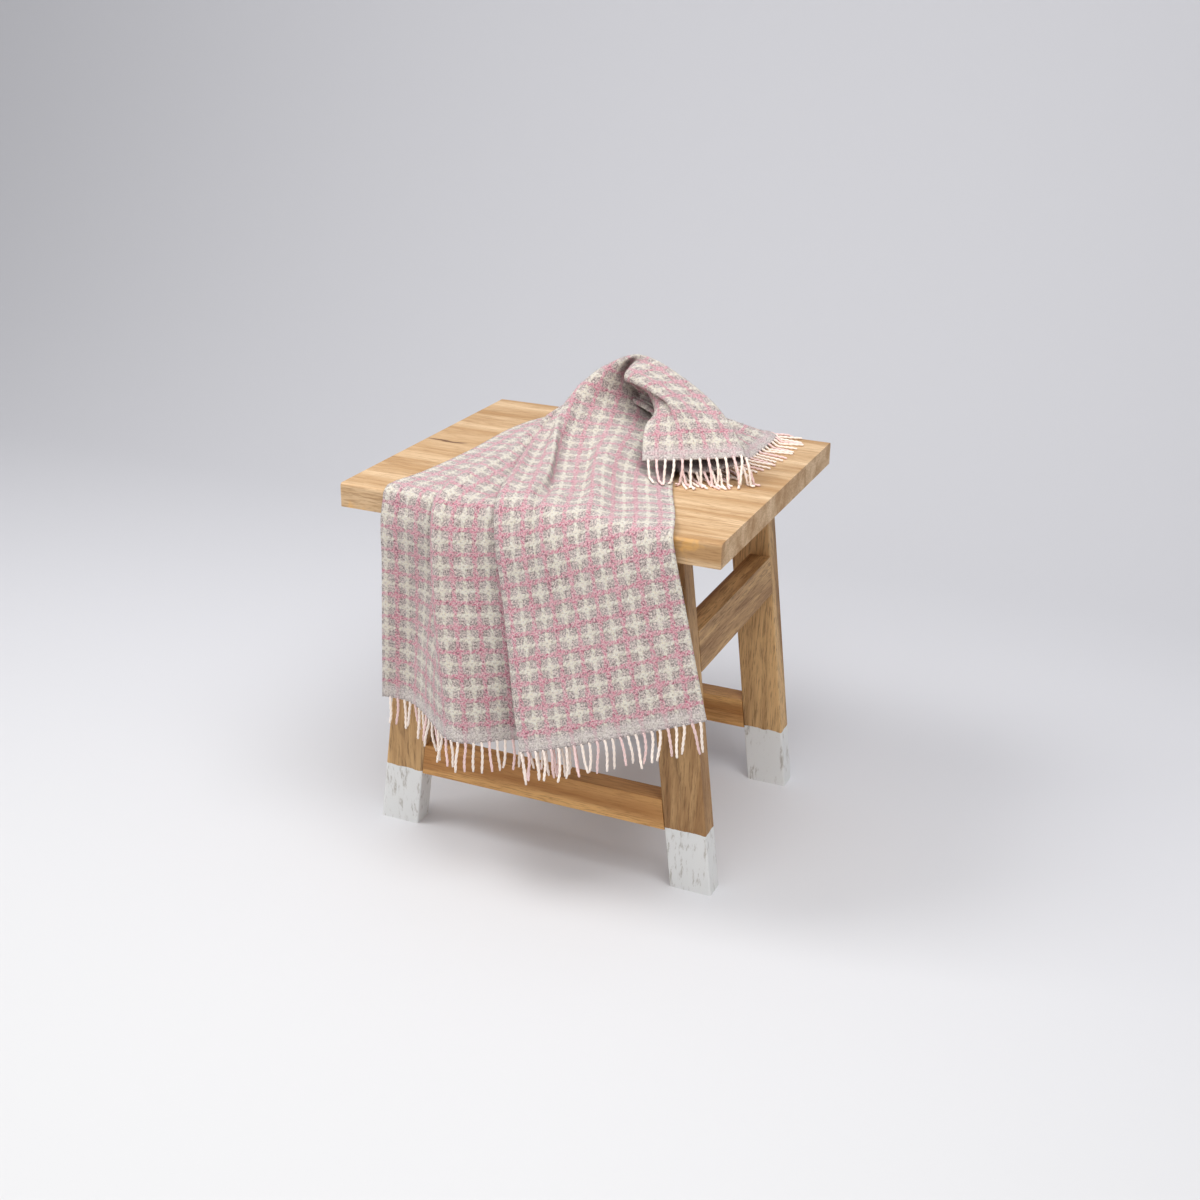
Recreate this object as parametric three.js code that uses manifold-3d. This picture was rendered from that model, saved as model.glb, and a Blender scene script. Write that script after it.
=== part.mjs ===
import * as THREE from 'three';
import { mergeVertices } from 'three/addons/utils/BufferGeometryUtils.js';
import Module from 'manifold-3d';

// A woven baby blanket draped over a small plank-topped stool.
// Millimetres, +Z up. Sizes and places are given from the floor under the middle of the stool's top,
// with +X along the front edge to the right and +Y going back, away from the hanging hem.

// Stool
const TOP_LENGTH = 570;
const TOP_DEPTH = 510;
const TOP_THICKNESS = 35;
const TOP_HEIGHT = 565;
const EDGE_ROUND = 5;
const PLANK_SEAMS = [-255, -128, -12, 121, 255];
const GAP = 0.3;

const LEG_WIDTH = 64;
const LEG_THICKNESS = 35;
const LEG_FOOT_X = 275;
const LEG_SPLAY = 0.1226;
const LEG_OUTER_Y = 197;
const LEG_ROUND = 2.5;

const FOOT_RAIL = { bottom: 92, top: 140, thickness: 35 };
const SIDE_RAIL = { bottom: 336, top: 396, thickness: 33 };

// Blanket, flat: across the warp (u) from the left selvedge, along it (v) from the front hem
const CLOTH_WIDTH = 730;
const CLOTH_LENGTH = 1000;
const CLOTH_THICKNESS = 3;

// Fringe: three strands to each repeat of the woven check
const CHECK_REPEAT = 34.3;
const STRANDS = 63;
const STRAND_PITCH = CHECK_REPEAT / 3;
const FIRST_STRAND = 12.6;
const STRAND_LENGTH = 44;
const STRAND_RADIUS = 2.2;
const STRIP_WIDTH = 3;
const STRIP_GAP = 0.5;
const STRAND_STEPS = { front: 2, far: 3 };
const STRAND_DROOP = { front: 0.3, far: 0.3 };
// A strand's middle line on the stool's top; only the cloth up to UNDER_FRINGE from the front hem
// lies under the far fringe, and it is looked for within STRAND_FIND
const STRAND_ROOTED = 0.8;
const STRAND_LEAN = 0.16;
const TIP_SHARE = 0.8;
const LYING_CLEAR = 0.6;
const LYING_HEIGHT = TOP_HEIGHT + STRAND_RADIUS / 2 + LYING_CLEAR;
const UNDER_FRINGE = 560;
const STRAND_FIND = 13;

// Each fold line of the drape, from the front hem over the stool's edge to the far hem.
// across: place on the flat cloth; hold: how firmly the line keeps its place
// on the hanging part, on the top and on the far part; path: x, y, z of 13 points.
const FOLDS = [
  {
    name: 'left selvedge', across: 0, hold: [0.10, 0.10, 0.06],
    path: [[-212, -262, 250], [-207, -262, 355], [-204, -262, 460], [-203, -262, 548],
      [-203, -252, 568], [-197, -190, 568], [-180, -41, 568], [-184, 36, 568],
      [-187, 118, 569], [-165, 190, 570], [-118, 248, 567], [-52, 262, 530], [40, 263, 494]],
  },
  {
    name: 'left panel', across: 68, hold: [0.10, 0.05, 0.05],
    path: [[-171, -258, 249], [-160, -260, 355], [-152, -261, 460], [-148, -263, 548],
      [-147, -252, 569], [-138, -190, 570], [-122, -60, 572], [-120, 30, 578],
      [-128, 112, 585], [-104, 180, 590], [-40, 236, 578], [40, 262, 545], [112, 264, 524]],
  },
  {
    name: 'first tuck', across: 105, hold: [0.04, 0.03, 0.05],
    path: [[-128, -290, 247], [-128, -286, 345], [-120, -268, 455], [-114, -264, 548],
      [-112, -253, 568], [-104, -190, 568], [-92, -75, 568], [-92, 22, 574], [-112, 98, 596],
      [-78, 164, 604], [-6, 222, 596], [78, 256, 560], [148, 263, 542]],
  },
  {
    name: 'first ridge', across: 158, hold: [0.12, 0.05, 0.30],
    path: [[-72, -345, 244], [-93, -322, 340], [-110, -298, 450], [-117, -284, 548],
      [-118, -264, 582], [-112, -190, 592], [-104, -90, 594], [-104, 10, 600],
      [-100, 80, 612], [-56, 126, 618], [20, 176, 608], [108, 222, 586], [212, 244, 568]],
  },
  {
    name: 'middle panel', across: 262, hold: [0.10, 0.05, 0.10],
    path: [[2, -292, 242], [-12, -285, 340], [-26, -276, 450], [-36, -264, 548], [-38, -255, 568],
      [-22, -190, 567], [-12, -90, 567], [-12, 0, 567], [-70, 60, 590], [-80, 110, 625],
      [0, 150, 640], [110, 160, 605], [208, 140, 568]],
  },
  {
    name: 'inner panel', across: 310, hold: [0.05, 0.03, 0.05],
    path: [[50, -289, 249], [36, -282, 342], [20, -273, 450], [7, -264, 548], [4, -254, 568],
      [26, -190, 567], [36, -90, 567], [36, 0, 568], [-22, 56, 586], [-40, 112, 618],
      [36, 146, 634], [124, 132, 602], [198, 92, 568]],
  },
  {
    name: 'hidden turn', across: 358, hold: [0.04, 0.02, 0.03],
    path: [[98, -284, 256], [84, -277, 345], [66, -270, 450], [50, -266, 548], [46, -255, 570],
      [46, -190, 571], [26, -90, 573], [2, 0, 576], [-46, 68, 594], [-56, 116, 630],
      [36, 134, 642], [136, 100, 604], [186, 42, 569]],
  },
  {
    name: 'second ridge', across: 455, hold: [0.15, 0.08, 0.05],
    path: [[30, -325, 240], [14, -310, 330], [-6, -290, 440], [-26, -277, 548], [-34, -261, 583],
      [-52, -180, 592], [-72, -100, 592], [-96, -5, 594], [-112, 76, 608], [-88, 108, 640],
      [10, 122, 652], [92, 60, 622], [154, -58, 574]],
  },
  {
    name: 'under layer', across: 515, hold: [0.08, 0.03, 0.05],
    path: [[84, -320, 258], [66, -306, 345], [44, -288, 450], [22, -277, 548], [16, -260, 580],
      [-4, -180, 584], [-36, -90, 594], [-66, 0, 612], [-82, 80, 644], [-50, 112, 670],
      [30, 124, 668], [118, 76, 628], [192, -32, 578]],
  },
  {
    name: 'right fold', across: 580, hold: [0.08, 0.04, 0.30],
    path: [[144, -312, 280], [124, -300, 365], [102, -284, 460], [82, -270, 548], [72, -256, 573],
      [50, -170, 578], [6, -60, 594], [-30, 20, 618], [-46, 86, 654], [-14, 96, 700],
      [56, 86, 704], [146, 70, 660], [246, -2, 598]],
  },
  {
    name: 'right panel', across: 655, hold: [0.08, 0.05, 0.30],
    path: [[214, -302, 305], [192, -292, 385], [168, -280, 470], [146, -268, 548],
      [138, -254, 568], [116, -180, 572], [62, -90, 586], [28, -24, 610], [20, 40, 616],
      [34, 128, 640], [10, 44, 694], [110, 26, 668], [170, -30, 601]],
  },
  {
    name: 'right selvedge', across: 730, hold: [0.12, 0.12, 0.35],
    path: [[283, -285, 328], [258, -274, 410], [232, -266, 490], [214, -262, 548],
      [211, -254, 568], [183, -188, 568], [144, -92, 568], [134, -10, 567], [156, 80, 568],
      [116, 144, 596], [40, 96, 655], [84, 18, 650], [90, -68, 599]],
  },
];
const EDGE_POINT = 4;
const MEASURED_POINTS = 7;
const FAR_POINT = 9;

// Grid lines: stretches of the cloth and how many cells each has; folds and the stool's edge are finer
const ACROSS_CELLS = [{ to: 262, cells: 14 }, { to: 358, cells: 7 }, { to: 551, cells: 14 },
  { to: CLOTH_WIDTH, cells: 9 }];
const ALONG_CELLS = [{ to: 234, cells: 12 }, { to: 354, cells: 12 }, { to: CLOTH_LENGTH, cells: 32 }];

// Settling: the cloth keeps its own lengths while it sinks on the stool
const SETTLE = { rounds: 300, passes: 2, sink: 0.15, smooth: 0.12, shear: 0.3, apart: 5 };
const CLOTH_OFF = 1.9;
const CLOTH_REST = TOP_HEIGHT + CLOTH_OFF;
const CLOTH_FACE = TOP_DEPTH / 2 + CLOTH_OFF;
const TURN_HEIGHT = TOP_HEIGHT - 20;
const EDGE_ROLL = { y: 247, z: 557, radius: 13.5 };
const EDGE_CLEAR = 10.5;

function gridLines(stretches) {
  const lines = [0];
  for (const { to, cells } of stretches) {
    const from = lines[lines.length - 1];
    for (let i = 1; i <= cells; i++) lines.push(from + ((to - from) * i) / cells);
  }
  return lines;
}

// Smooth curve through points p at the uneven knots t, read at q
function smoothAt(t, p, q) {
  const last = t.length - 1;
  let k = 0;
  while (k < last - 1 && q >= t[k + 1]) k++;
  const slope = (i) => p[0].map((_, c) => (p[i + 1][c] - p[i][c]) / (t[i + 1] - t[i]));
  const tangent = (i) => {
    if (i === 0) return slope(0);
    if (i === last) return slope(last - 1);
    const before = t[i] - t[i - 1];
    const after = t[i + 1] - t[i];
    const a = slope(i - 1);
    const b = slope(i);
    return a.map((v, c) => (v * after + b[c] * before) / (before + after));
  };
  const h = t[k + 1] - t[k];
  const s = (q - t[k]) / h;
  const m0 = tangent(k);
  const m1 = tangent(k + 1);
  return p[0].map((_, c) => (2 * s ** 3 - 3 * s ** 2 + 1) * p[k][c]
    + (s ** 3 - 2 * s ** 2 + s) * h * m0[c]
    + (-2 * s ** 3 + 3 * s ** 2) * p[k + 1][c]
    + (s ** 3 - s ** 2) * h * m1[c]);
}

function straightAt(t, p, q) {
  if (q <= t[0]) return p[0];
  for (let i = 1; i < t.length; i++) {
    if (q <= t[i]) return p[i - 1] + ((p[i] - p[i - 1]) * (q - t[i - 1])) / (t[i] - t[i - 1]);
  }
  return p[p.length - 1];
}

// Knots of a fold line: its measured length up to the top, then stretched to the cloth's length
function foldKnots(path) {
  const knots = [0];
  for (let i = 1; i < path.length; i++) {
    knots.push(knots[i - 1] + Math.hypot(...path[i].map((v, c) => v - path[i - 1][c])));
  }
  const from = knots[MEASURED_POINTS];
  const whole = knots[knots.length - 1];
  return knots.map((s, i) => (i <= MEASURED_POINTS
    ? s : from + ((s - from) * (CLOTH_LENGTH - from)) / (whole - from)));
}

// Loft the fold lines: first along each line, then across them
function loftFolds(across, along) {
  const places = FOLDS.map((fold) => fold.across);
  const knots = FOLDS.map((fold) => foldKnots(fold.path));
  const points = [];
  const holds = [];
  for (const v of along) {
    const row = FOLDS.map((fold, i) => smoothAt(knots[i], fold.path, v));
    const firm = FOLDS.map((fold, i) => {
      const stops = [knots[i][EDGE_POINT] - 20, knots[i][EDGE_POINT] + 40,
        knots[i][FAR_POINT] - 40, knots[i][FAR_POINT] + 60];
      return straightAt(stops, [fold.hold[0], fold.hold[1], fold.hold[1], fold.hold[2]], v);
    });
    for (const u of across) {
      points.push(...smoothAt(places, row, u));
      holds.push(straightAt(places, firm, u));
    }
  }
  return { points, holds };
}

// Settle the lofted cloth: it sinks, stays smooth, keeps its lengths and stays off the stool
function settle(across, along, target, holds) {
  const nu = across.length;
  const nv = along.length;
  const at = (j, i) => (j * nu + i) * 3;
  let X = Float64Array.from(target);
  const du = across.slice(1).map((u, i) => u - across[i]);
  const dv = along.slice(1).map((v, j) => v - along[j]);

  const pull = (a, b, rest, share) => {
    const dx = X[b] - X[a];
    const dy = X[b + 1] - X[a + 1];
    const dz = X[b + 2] - X[a + 2];
    const n = Math.sqrt(dx * dx + dy * dy + dz * dz) + 1e-9;
    const k = ((n - rest) / n) * (0.5 * share);
    X[a] += dx * k;
    X[a + 1] += dy * k;
    X[a + 2] += dz * k;
    X[b] -= dx * k;
    X[b + 1] -= dy * k;
    X[b + 2] -= dz * k;
  };

  const smooth = () => {
    const Y = Float64Array.from(X);
    for (let j = 0; j < nv; j++) {
      for (let i = 0; i < nu; i++) {
        const p = at(j, i);
        for (let c = 0; c < 3; c++) {
          if (j > 0 && j < nv - 1) {
            const up = (X[at(j + 1, i) + c] - X[p + c]) / dv[j];
            const down = (X[p + c] - X[at(j - 1, i) + c]) / dv[j - 1];
            Y[p + c] += (SETTLE.smooth * (up - down) * (dv[j] + dv[j - 1])) / 2;
          }
          if (i > 0 && i < nu - 1) {
            const right = (X[at(j, i + 1) + c] - X[p + c]) / du[i];
            const left = (X[p + c] - X[at(j, i - 1) + c]) / du[i - 1];
            Y[p + c] += (SETTLE.smooth * (right - left) * (du[i] + du[i - 1])) / 2;
          }
        }
      }
    }
    X = Y;
  };

  const keepLengths = () => {
    for (const odd of [0, 1]) {
      for (let j = 0; j < nv; j++) {
        for (let i = odd; i < nu - 1; i += 2) pull(at(j, i), at(j, i + 1), du[i], 1);
      }
    }
    for (const odd of [0, 1]) {
      for (let j = odd; j < nv - 1; j += 2) {
        for (let i = 0; i < nu; i++) pull(at(j, i), at(j + 1, i), dv[j], 1);
      }
    }
    for (const oddRow of [0, 1]) {
      for (const oddColumn of [0, 1]) {
        for (const falling of [0, 1]) {
          for (let j = oddRow; j < nv - 1; j += 2) {
            for (let i = oddColumn; i < nu - 1; i += 2) {
              const rest = Math.sqrt(du[i] * du[i] + dv[j] * dv[j]);
              pull(at(j + falling, i), at(j + 1 - falling, i + 1), rest, SETTLE.shear);
            }
          }
        }
      }
    }
  };

  // Layers crossed by one row of points keep clear: each point is held off every other stretch of its row
  const keepApart = () => {
    const push = new Float64Array(X.length);
    for (let j = 0; j < nv; j++) {
      for (let i = 0; i < nu - 1; i++) {
        const a = at(j, i);
        const b = at(j, i + 1);
        const sx = X[b] - X[a];
        const sy = X[b + 1] - X[a + 1];
        const sz = X[b + 2] - X[a + 2];
        const size2 = sx * sx + sy * sy + sz * sz + 1e-9;
        for (let k = 0; k < nu; k++) {
          if (k >= i - 1 && k <= i + 2) continue;
          const p = at(j, k);
          const px = X[p] - X[a];
          const py = X[p + 1] - X[a + 1];
          const pz = X[p + 2] - X[a + 2];
          const s = Math.min(Math.max((sx * px + sy * py + sz * pz) / size2, 0), 1);
          const ox = px - s * sx;
          const oy = py - s * sy;
          const oz = pz - s * sz;
          const off = Math.sqrt(ox * ox + oy * oy + oz * oz) + 1e-9;
          if (off >= SETTLE.apart) continue;
          const move = (0.25 * (SETTLE.apart - off)) / off;
          [ox, oy, oz].forEach((o, c) => {
            push[p + c] += move * o;
            push[a + c] -= (1 - s) * move * o;
            push[b + c] -= s * move * o;
          });
        }
      }
    }
    for (let q = 0; q < X.length; q++) X[q] += push[q];
  };

  // The stool's top, the faces of its front and back edges, and a rounder turn over each edge
  const stayOff = () => {
    for (let p = 0; p < X.length; p += 3) {
      const side = X[p + 1] < 0 ? -1 : 1;
      const within = side * X[p + 1] < CLOTH_FACE;
      const z = X[p + 2];
      if (within && z < CLOTH_REST && z > TURN_HEIGHT) X[p + 2] = CLOTH_REST;
      if (within && z <= TURN_HEIGHT) X[p + 1] = side * CLOTH_FACE;
      const dy = X[p + 1] - side * EDGE_ROLL.y;
      const dz = X[p + 2] - EDGE_ROLL.z;
      const d = Math.sqrt(dy * dy + dz * dz) + 1e-9;
      if (d < EDGE_ROLL.radius) {
        X[p + 1] = side * EDGE_ROLL.y + (dy * EDGE_ROLL.radius) / d;
        X[p + 2] = EDGE_ROLL.z + (dz * EDGE_ROLL.radius) / d;
      }
    }
  };

  for (let round = 0; round < SETTLE.rounds; round++) {
    for (let p = 2; p < X.length; p += 3) X[p] -= SETTLE.sink;
    smooth();
    for (let p = 0; p < X.length; p++) X[p] += holds[Math.floor(p / 3)] * (target[p] - X[p]);
    for (let pass = 0; pass < SETTLE.passes; pass++) {
      keepLengths();
      keepApart();
      stayOff();
    }
  }
  return X;
}

// The settled middle surface, with the way along the weave and the way out of the face at each point
function drape() {
  const across = gridLines(ACROSS_CELLS);
  const along = gridLines(ALONG_CELLS);
  const { points, holds } = loftFolds(across, along);
  const X = settle(across, along, points, holds);
  const nu = across.length;
  const nv = along.length;
  const point = (j, i) => new THREE.Vector3().fromArray(X, (j * nu + i) * 3);
  const normal = (j, i) => {
    const right = point(j, Math.min(i + 1, nu - 1)).sub(point(j, Math.max(i - 1, 0)));
    const up = point(Math.min(j + 1, nv - 1), i).sub(point(Math.max(j - 1, 0), i));
    return right.cross(up).normalize();
  };
  return { across, along, nu, nv, point, normal };
}

function closedGeometry(vertices, faces) {
  const geometry = new THREE.BufferGeometry();
  geometry.setAttribute('position', new THREE.Float32BufferAttribute(vertices.flatMap((v) => v.toArray()), 3));
  geometry.setIndex(faces.flat());
  return geometry;
}

// The cloth: both faces of the sheet and the rim round its four edges
function clothGeometry(cloth, thickness) {
  const { nu, nv, point, normal } = cloth;
  const vertices = [];
  for (const side of [1, -1]) {
    for (let j = 0; j < nv; j++) {
      for (let i = 0; i < nu; i++) {
        vertices.push(point(j, i).addScaledVector(normal(j, i), (side * thickness) / 2));
      }
    }
  }
  const face = (j, i) => j * nu + i;
  const back = (j, i) => nu * nv + j * nu + i;
  const faces = [];
  for (let j = 0; j < nv - 1; j++) {
    for (let i = 0; i < nu - 1; i++) {
      faces.push([face(j, i), face(j, i + 1), face(j + 1, i + 1)]);
      faces.push([face(j, i), face(j + 1, i + 1), face(j + 1, i)]);
      faces.push([back(j, i), back(j + 1, i + 1), back(j, i + 1)]);
      faces.push([back(j, i), back(j + 1, i), back(j + 1, i + 1)]);
    }
  }
  const rim = (a, b, c, d) => faces.push([a, b, c], [a, c, d]);
  for (let i = 0; i < nu - 1; i++) {
    rim(face(0, i), back(0, i), back(0, i + 1), face(0, i + 1));
    rim(face(nv - 1, i + 1), back(nv - 1, i + 1), back(nv - 1, i), face(nv - 1, i));
  }
  for (let j = 0; j < nv - 1; j++) {
    rim(face(j + 1, 0), back(j + 1, 0), back(j, 0), face(j, 0));
    rim(face(j, nu - 1), back(j, nu - 1), back(j + 1, nu - 1), face(j + 1, nu - 1));
  }
  return closedGeometry(vertices, faces);
}

// A closed bar: rings of equal size joined one to the next, with flat ends
function barGeometry(rings) {
  const sides = rings[0].length;
  const faces = [];
  for (let k = 0; k < rings.length - 1; k++) {
    for (let s = 0; s < sides; s++) {
      const a = k * sides + s;
      const b = k * sides + ((s + 1) % sides);
      faces.push([a, b, b + sides], [a, b + sides, a + sides]);
    }
  }
  const end = (rings.length - 1) * sides;
  for (let s = 1; s < sides - 1; s++) {
    faces.push([0, s + 1, s], [end, end + s, end + s + 1]);
  }
  return closedGeometry(rings.flat(), faces);
}

// A spread-out order of numbers from 0 to 1, one for each strand
const GOLDEN_SHARE = 0.618;
function chance(n) {
  const steps = n * GOLDEN_SHARE;
  return steps - Math.floor(steps);
}

// Height a strand's middle line keeps over the stool's top, or over the part of the blanket below it
function layingHeight(cloth, { x, y, z }) {
  const overTop = Math.abs(y) < TOP_DEPTH / 2 + STRAND_RADIUS && Math.abs(x) < TOP_LENGTH / 2 + STRAND_RADIUS;
  if (!overTop || z < TURN_HEIGHT) return -Infinity;
  let height = LYING_HEIGHT;
  for (let j = 0; cloth.along[j] < UNDER_FRINGE; j++) {
    for (let i = 0; i < cloth.nu; i++) {
      const p = cloth.point(j, i);
      if (Math.hypot(p.x - x, p.y - y) < STRAND_FIND) {
        height = Math.max(height, p.z + CLOTH_THICKNESS / 2 + STRAND_RADIUS);
      }
    }
  }
  return height;
}

// Middle line of one strand: it leaves the hem along the weave, then bends down and lies
function strandLine(cloth, root, outward, steps, droop, lean, lies) {
  const line = [root.clone()];
  const way = outward.clone();
  const step = STRAND_LENGTH / steps;
  const behind = root.y > TOP_DEPTH / 2;
  for (let k = 0; k < steps; k++) {
    way.add(new THREE.Vector3(lean, 0, -droop)).normalize();
    const next = line[k].clone().addScaledVector(way, step);
    if (lies && behind) next.y = Math.max(next.y, TOP_DEPTH / 2 + 2 * STRAND_RADIUS);
    if (lies && !behind) {
      next.y = Math.min(next.y, TOP_DEPTH / 2 - STRAND_RADIUS);
      next.z = Math.max(next.z, layingHeight(cloth, next));
    }
    line.push(next);
  }
  return line;
}

// A strand's own solid: three-sided rings square to its middle line, flattened where it lies on the top
function strandGeometry(line, facing, floor) {
  const rings = line.map((p, k) => {
    const way = line[Math.min(k + 1, line.length - 1)].clone().sub(line[Math.max(k - 1, 0)]).normalize();
    const side = new THREE.Vector3().crossVectors(facing, way).normalize();
    const up = new THREE.Vector3().crossVectors(way, side);
    const thin = k === line.length - 1 ? TIP_SHARE : 1;
    return [90, 210, 330].map((degrees) => {
      const turn = THREE.MathUtils.degToRad(degrees);
      const corner = p.clone()
        .addScaledVector(side, Math.cos(turn) * STRAND_RADIUS * thin)
        .addScaledVector(up, Math.sin(turn) * STRAND_RADIUS * thin);
      if (p.z > floor) corner.z = Math.max(corner.z, floor);
      return corner;
    });
  });
  return barGeometry(rings);
}

// Place, outward way and face of the hem at distance u from the left selvedge
function hemAt(cloth, u, far) {
  const { across, nu, nv, point, normal } = cloth;
  const row = far ? nv - 1 : 0;
  const inner = far ? nv - 2 : 1;
  let i = 0;
  while (i < nu - 2 && u > across[i + 1]) i++;
  const s = (u - across[i]) / (across[i + 1] - across[i]);
  const place = point(row, i).lerp(point(row, i + 1), s);
  const behind = point(inner, i).lerp(point(inner, i + 1), s);
  const face = normal(row, i).lerp(normal(row, i + 1), s).normalize();
  return { place, face, outward: place.clone().sub(behind).normalize() };
}

const wasm = await Module();
wasm.setup();

function toSolid(geometry) {
  const bare = geometry.clone();
  for (const name of Object.keys(bare.attributes)) if (name !== 'position') bare.deleteAttribute(name);
  const merged = mergeVertices(bare, 1e-4);
  return new wasm.Manifold(new wasm.Mesh({
    numProp: 3,
    vertProperties: Float32Array.from(merged.attributes.position.array),
    triVerts: Uint32Array.from(merged.index.array),
  }));
}

function fromSolid(solid) {
  const mesh = solid.getMesh();
  const geometry = new THREE.BufferGeometry();
  geometry.setAttribute('position', new THREE.BufferAttribute(Float32Array.from(mesh.vertProperties), 3));
  geometry.setIndex(new THREE.BufferAttribute(Uint32Array.from(mesh.triVerts), 1));
  return geometry;
}

// A point that would be too near the rounded back edge of the top is moved straight out from it
function clearOfBackEdge(p) {
  const dy = p.y - EDGE_ROLL.y;
  const dz = p.z - EDGE_ROLL.z;
  const out = Math.hypot(dy, dz);
  if (dy > 0 && dz > 0 && out < EDGE_CLEAR) {
    p.y = EDGE_ROLL.y + (dy * EDGE_CLEAR) / out;
    p.z = EDGE_ROLL.z + (dz * EDGE_CLEAR) / out;
  }
  return p;
}

// One hem's fringe: a narrow strip just off the cloth's edge, with the strands rooted in it
function fringeGeometry(cloth, far) {
  const half = CLOTH_THICKNESS / 2;
  const rings = cloth.across.map((u) => {
    const { place, face, outward } = hemAt(cloth, u, far);
    const corner = (out, up) => {
      const p = place.clone().addScaledVector(outward, out).addScaledVector(face, up);
      if (far && p.z > TURN_HEIGHT && p.y < EDGE_ROLL.y) p.z = Math.max(p.z, TOP_HEIGHT + GAP);
      return clearOfBackEdge(p);
    };
    const ring = [corner(STRIP_GAP, -half), corner(STRIP_GAP + STRIP_WIDTH, -half),
      corner(STRIP_GAP + STRIP_WIDTH, half), corner(STRIP_GAP, half)];
    return far ? ring : ring.reverse();
  });
  let solid = toSolid(barGeometry(rings));
  const end = far ? 'far' : 'front';
  for (let n = 0; n < STRANDS; n++) {
    const { place, face, outward } = hemAt(cloth, FIRST_STRAND + n * STRAND_PITCH, far);
    const root = place.clone().addScaledVector(outward, STRIP_GAP + STRIP_WIDTH - STRAND_ROOTED);
    if (far && root.z > TURN_HEIGHT) root.z = Math.max(root.z, LYING_HEIGHT);
    const lean = (chance(n + 1) - 0.5) * STRAND_LEAN;
    const line = strandLine(cloth, root, outward, STRAND_STEPS[end], STRAND_DROOP[end], lean, far);
    if (far && face.z < 0) face.negate();
    solid = solid.add(toSolid(strandGeometry(line, face, TOP_HEIGHT + GAP)));
  }
  // where the cloth comes back past its own fringe, the fringe gives way to it
  for (const thickness of [CLOTH_THICKNESS + 2 * GAP, CLOTH_THICKNESS]) {
    solid = solid.subtract(toSolid(clothGeometry(cloth, thickness)));
  }
  const kept = solid.decompose();
  solid = kept.reduce((a, b) => (b.volume() > a.volume() ? b : a));
  return fromSolid(solid);
}

// Stool pieces
function plankGeometry(front, back) {
  const roundFront = front === PLANK_SEAMS[0];
  const roundBack = back === PLANK_SEAMS[PLANK_SEAMS.length - 1];
  const y0 = roundFront ? front : front + GAP / 2;
  const y1 = roundBack ? back : back - GAP / 2;
  const z0 = TOP_HEIGHT - TOP_THICKNESS;
  const r = EDGE_ROUND;
  const outline = new THREE.Shape();
  outline.moveTo(y0, z0);
  outline.lineTo(y1, z0);
  if (roundBack) {
    outline.lineTo(y1, TOP_HEIGHT - r);
    outline.absarc(y1 - r, TOP_HEIGHT - r, r, 0, Math.PI / 2, false);
  } else {
    outline.lineTo(y1, TOP_HEIGHT);
  }
  if (roundFront) {
    outline.lineTo(y0 + r, TOP_HEIGHT);
    outline.absarc(y0 + r, TOP_HEIGHT - r, r, Math.PI / 2, Math.PI, false);
  } else {
    outline.lineTo(y0, TOP_HEIGHT);
  }
  outline.closePath();
  const geometry = new THREE.ExtrudeGeometry(outline, {
    depth: TOP_LENGTH, bevelEnabled: false, curveSegments: 4,
  });
  // the extrusion runs along Z from a YZ outline, so its axes are renamed: (y, z, x) to (x, y, z)
  geometry.applyMatrix4(new THREE.Matrix4().set(0, 0, 1, -TOP_LENGTH / 2, 1, 0, 0, 0, 0, 1, 0, 0, 0, 0, 0, 1));
  return geometry;
}

// Outer X of a leg at height z
function legOuter(z) {
  return LEG_FOOT_X - LEG_SPLAY * z;
}

function legGeometry(side, end) {
  const r = LEG_ROUND;
  const w = LEG_WIDTH / 2;
  const t = LEG_THICKNESS / 2;
  const section = new THREE.Shape();
  section.moveTo(-w + r, -t);
  section.lineTo(w - r, -t);
  section.absarc(w - r, -t + r, r, -Math.PI / 2, 0, false);
  section.lineTo(w, t - r);
  section.absarc(w - r, t - r, r, 0, Math.PI / 2, false);
  section.lineTo(-w + r, t);
  section.absarc(-w + r, t - r, r, Math.PI / 2, Math.PI, false);
  section.lineTo(-w, -t + r);
  section.absarc(-w + r, -t + r, r, Math.PI, Math.PI * 1.5, false);
  const height = TOP_HEIGHT - TOP_THICKNESS - GAP;
  const geometry = new THREE.ExtrudeGeometry(section, { depth: height, bevelEnabled: false, curveSegments: 2 });
  const splay = new THREE.Matrix4().set(
    1, 0, -side * LEG_SPLAY, side * (LEG_FOOT_X - w),
    0, 1, 0, end * (LEG_OUTER_Y - t),
    0, 0, 1, 0,
    0, 0, 0, 1,
  );
  geometry.applyMatrix4(splay);
  return geometry;
}

// Rail between the two legs of one end of the stool, its ends cut to the splay
function footRailGeometry(end) {
  const { bottom, top, thickness } = FOOT_RAIL;
  const reach = (z) => legOuter(z) - LEG_WIDTH - GAP;
  const outline = new THREE.Shape();
  outline.moveTo(-reach(bottom), bottom);
  outline.lineTo(reach(bottom), bottom);
  outline.lineTo(reach(top), top);
  outline.lineTo(-reach(top), top);
  outline.closePath();
  const geometry = new THREE.ExtrudeGeometry(outline, { depth: thickness, bevelEnabled: false });
  geometry.rotateX(Math.PI / 2);
  geometry.translate(0, end > 0 ? LEG_OUTER_Y : -LEG_OUTER_Y + thickness, 0);
  return geometry;
}

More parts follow.
